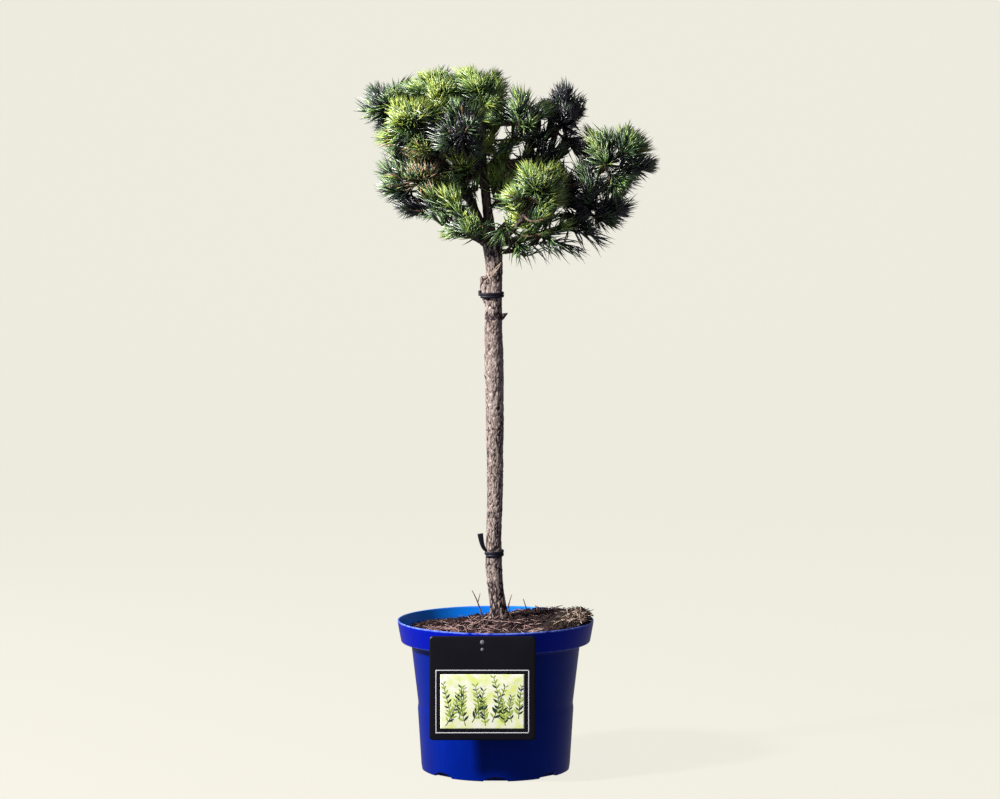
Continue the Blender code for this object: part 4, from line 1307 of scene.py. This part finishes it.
def drooping_shoots(limbs):
    """Shoots that hang below the crown, out into the open: path, pitch of the needles and tone."""
    return [
        (bezier(limbs[name].at(fraction), bend, end, SHOOT_STEPS), pitch, tone)
        for name, fraction, bend, end, pitch, tone in DROOPING
    ]


def shoot_needles(path, mean_tone, dice, pitch):
    """One shoot's needles: feet, headings, the shoot's own line, tones, lengths, and reach past the skin."""
    feet, headings, axis_line, share = needle_curves(path, dice, pitch)
    count = len(share)
    # A shoot that points up is nearer to gold, and so are the needles near its tip: partly the real gold of
    # the winter tips, partly painted light from above.
    upward = unit(path[-1] - path[0])[2]
    tone = mean_tone + dice.normal(0.0, 0.40) + 0.30 - 0.75 * upward
    dry = sum(
        chance * hill((feet[:, 0] - across) / wide, (feet[:, 2] - up) / high)
        for (across, up), (wide, high), chance in DRY_SPOTS
    )
    dry += 0.45 * (dice.uniform() < 0.004)
    # Needles nearer the shoot's foot get darker tones, partly as older needles and partly as painted shade.
    tone = tone + 1.3 * (0.66 - share) + dice.normal(0.0, 0.85, count)
    tone = np.where(dice.uniform(0.0, 1.0, count) < dry, STRAW_TONE, tone)
    reach = NEEDLE_LENGTH * dice.uniform(0.80, 1.06, count) * dice.uniform(0.9, 1.05)
    return feet, headings, axis_line, tone, reach, np.full(count, dice.normal(0.0, 0.05))


def fitted(needles, name, order, limbs, dice):
    """The share of its length at which each needle has room, or 0, and its tone, painted darker in the
    valleys as shade.
    """
    foot, heading, _, tone, reach, own_skin = needles
    sized = np.zeros(len(foot))
    for factor in NEEDLE_CUTS:
        left = sized == 0.0
        span = heading[left] * (reach[left] * factor)[:, None]
        spots = foot[left][:, None] + span[:, None] * np.array([0.25, 0.5, 0.75, 1.0])[:, None]
        end = spots[:, -1]
        valley = between_fans(end, name, order)
        # The crown's skin: drawn in at the valleys, wavy, uneven, and trimmed at the very top.
        skin = 1.07 - 0.30 * valley + 0.11 * lattice_noise(end * 52.0, 61) + own_skin[left]
        skin += 0.03 * dice.normal(0.0, 1.0, len(end)) - 0.08 * ramped(end[:, 2], 0.770, 0.02)
        fits = (crown_depth(end) < skin) & out_of_windows(spots, dice)
        for places in (end, spots[:, 1]):
            fits &= clear_of_limbs(places, limbs, LIMB_MARGIN)
        numbers = np.flatnonzero(left)[fits]
        sized[numbers] = factor
        # Painted shade: needles that end in the valleys between fans get darker tones.
        tone[numbers] += 1.2 * (valley[fits] - 0.35)
    return sized, tone


def grow_crown(limbs):
    """All twigs, needles and buds: shoots by the rule of the solids, then the needles that have room."""
    dice = np.random.default_rng(23)
    thinned = 1.0
    twig_paths, stem_paths, buds, rows = [], [], [], []
    for order, name in enumerate(MASSES):
        stem, paths = shoot_paths(name, order, limbs[name], limbs, dice)
        stem_paths.append((stem, float(limbs[name].radii[-1])))
        twig_paths.append(paths)
        buds += [(path[-1], unit(path[-1] - path[-2])) for path in paths]
        shoots = [shoot_needles(path, MASSES[name][3], dice, NEEDLE_PITCH * thinned) for path in paths]
        needles = [np.concatenate(values) for values in zip(*shoots)]
        sized, tone = fitted(needles, name, order, limbs, dice)
        kept = sized > 0.0
        foot, heading, axis_line = (values[kept] for values in needles[:3])
        length = (needles[4] * sized)[kept][:, None]
        curl = dice.normal(0.0, 0.05, (len(foot), 3)) - 0.10 * axis_line
        bend = foot + heading * length * 0.5 + curl * length * 0.5
        rows.append((foot, bend, foot + heading * length, tone[kept]))
    for path, pitch, tone in drooping_shoots(limbs):
        foot, heading, _, _ = needle_curves(path, dice, pitch * thinned, 3)
        count = len(foot)
        heading = unit(heading * (1.0, 1.0, 0.7) - 0.25 * UP)
        length = NEEDLE_LENGTH * dice.uniform(0.8, 1.15, (count, 1))
        twig_paths.append(path[None])
        bend = foot + heading * length * 0.5 + dice.normal(0.0, 0.0016, (count, 3))
        tip = foot + heading * length - 0.0020 * UP + dice.normal(0.0, 0.002, (count, 3))
        rows.append((foot, bend, tip, dice.normal(tone, 0.7, count)))
    make_needles(*(np.concatenate(values) for values in zip(*rows)))
    make_twigs(stem_paths, np.concatenate(twig_paths))
    make_buds(buds, dice)


def make_needles(feet, bends, tips, tones):
    """Each needle a three-sided tube from foot through bend to a point, joined into pieces by colour."""
    kinds = np.clip(np.round(tones), 0, 4).astype(int)
    kinds[tones > STRAW_TONE / 2] = list(TONES).index("straw")
    masses = [f"needles_{name}" for name in MASSES]
    for number, (name, (bright, low, slot)) in enumerate(TONES.items()):
        chosen = np.flatnonzero(kinds == number)
        finish = two_shades(f"needle_{name}", bright, low, 0.24, 0.14, 0.95)
        for part, start in enumerate(range(0, len(chosen), NEEDLES_A_PIECE)):
            rows = chosen[start : start + NEEDLES_A_PIECE]
            paths = np.stack([feet[rows], bends[rows], tips[rows]], axis=1)
            radii = np.tile(NEEDLE_RADIUS * np.array([1.0, 0.92, 0.0]), (len(rows), 1))
            points, faces = tubes(paths, radii, 3, pointed=True)
            piece = put_mesh(f"needles_{name}_{part + 1}", points, faces, finish, slot)
            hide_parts(*masses)


def make_twigs(stems, paths):
    """The bare stems of the masses and their shoots, with small leaf scars as relief."""
    stem_radii = [np.linspace(radius, SHOOT_RADIUS, SHOOT_STEPS) for _, radius in stems]
    shoot_radii = np.linspace(SHOOT_RADIUS * 0.85, SHOOT_RADIUS * 0.5, SHOOT_STEPS)
    lines = np.concatenate([np.stack([stem for stem, _ in stems]), paths])
    radii = np.concatenate([np.stack(stem_radii), np.tile(shoot_radii, (len(paths), 1))])
    finish = bark("twig_bark", (0.17, 0.115, 0.075), (0.10, 0.07, 0.05), (0.035, 0.022, 0.02))
    barked_tubes("twig_bark", lines, radii, 8, finish, (0.0025, 0.0004, 51))


def make_buds(buds, dice):
    """A small pointed bud at the tip of some shoots: rings of radius r(s) along the shoot's heading."""
    chosen = [bud for bud in buds if dice.uniform() < 0.35]
    share = np.array([0.0, 0.2, 0.5, 0.8, 1.0])
    radius = np.array([0.7, 1.0, 0.95, 0.55, 0.1]) * 0.0012
    places, headings = (np.array(values) for values in zip(*chosen))
    paths = places[:, None] + headings[:, None] * (share * 0.0055)[None, :, None]
    shape = tubes(paths, np.tile(radius, (len(chosen), 1)), 7)
    put_mesh("buds", *shape, two_shades("bud_brown", (0.26, 0.13, 0.07), (0.14, 0.07, 0.045), 0.5), "bark")


def make_stray_needles():
    """Dry needles caught on the stem below the fork, each a thin bent tube."""
    ends = (
        ((0.0062, -0.0110, 0.5680), (0.0010, -0.0125, 0.5560), (-0.0125, -0.0110, 0.5470)),
        ((0.0062, -0.0112, 0.5676), (-0.0020, -0.0128, 0.5600), (-0.0110, -0.0112, 0.5510)),
        ((0.0110, -0.0040, 0.6030), (0.0180, -0.0080, 0.5900), (0.0150, -0.0090, 0.5700)),
    )
    paths = np.stack([bezier(*row, 9) for row in ends])
    radii = np.tile(np.linspace(0.00055, 0.0003, 9), (len(ends), 1))
    finish = two_shades("stray_straw", (0.62, 0.50, 0.38), (0.45, 0.32, 0.22))
    put_mesh("stray_needles", *tubes(paths, radii, 6), finish, None)


# Stage


def make_stage():
    """A pale floor that curves up by a quarter circle into a wall behind, and a faint sky."""
    depth, radius, wide = 3.8, 1.2, 6.0
    turn = np.linspace(0.1, math.pi / 2, 12)
    run = np.concatenate([np.linspace(-wide, depth, 15), depth + radius * np.sin(turn)])
    rise = np.concatenate([np.zeros(15), radius * (1.0 - np.cos(turn))])
    run, rise = np.append(run, run[-1])[:, None], np.append(rise, 4.5)[:, None]
    side = np.linspace(-wide, wide, 8)
    grid = np.stack([side + 0 * run, run + 0 * side, rise + 0 * side], axis=-1)
    finish = Finish("backdrop", 0.9, Specular_IOR_Level=0.0)
    colour = (0.871, 0.847, 0.753)
    finish.feed(finish.shader.inputs["Emission Color"], colour)
    finish.shader.inputs["Emission Strength"].default_value = 0.955
    finish.done(tuple(0.06 * part for part in colour))
    mesh = bpy.data.meshes.new("backdrop")
    mesh.from_pydata(grid.reshape(-1, 3).tolist(), [], grid_faces(*grid.shape[:2], False).tolist())
    mesh.shade_smooth()
    mesh.materials.append(finish.material)
    backdrop = bpy.data.objects.new("backdrop", mesh)
    bpy.context.scene.collection.objects.link(backdrop)
    backdrop.visible_diffuse = False
    backdrop.visible_glossy = False
    world = bpy.data.worlds.new("studio")
    world.use_nodes = True
    sky = world.node_tree.nodes["Background"].inputs
    sky["Color"].default_value = (0.88, 0.84, 1.0, 1.0)
    sky["Strength"].default_value = 0.19
    bpy.context.scene.world = world
    bpy.context.scene.view_settings.view_transform = "Standard"


def add_light(name, place, target, size, power, colour):
    """A square soft light aimed at the target."""
    lamp = bpy.data.lights.new(name, "AREA")
    lamp.size = size
    lamp.energy = power
    lamp.color = colour
    holder = bpy.data.objects.new(name, lamp)
    holder.location = place
    holder.rotation_euler = (Vector(target) - Vector(place)).to_track_quat("-Z", "Y").to_euler()
    bpy.context.scene.collection.objects.link(holder)


def make_lights_and_camera():
    add_light("key", (-1.8, -1.1, 1.68), (0.0, 0.0, 0.42), 0.30, 140.0, (1.0, 0.97, 0.93))
    add_light("fill", (-1.0, -2.8, 1.2), (0.0, 0.0, 0.5), 1.2, 3.0, (0.90, 0.92, 1.0))
    add_light("rim", (-1.6, 1.1, 0.55), (0.0, 0.0, 0.30), 0.5, 9.0, (0.90, 0.95, 1.0))
    lens = bpy.data.cameras.new("camera")
    lens.lens = CAMERA_LENS
    lens.sensor_width = 36.0
    camera = bpy.data.objects.new("camera", lens)
    camera.location = CAMERA_PLACE
    camera.rotation_euler = (math.pi / 2 - CAMERA_PITCH, 0.0, 0.0)
    bpy.context.scene.collection.objects.link(camera)
    bpy.context.scene.camera = camera


def main():
    make_lights_and_camera()
    make_stage()
    make_pot()
    make_soil()
    make_litter()
    make_card()
    make_stem()
    limbs = make_boughs()
    grow_crown(limbs)
    make_stray_needles()
    make_ties()
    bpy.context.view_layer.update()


main()
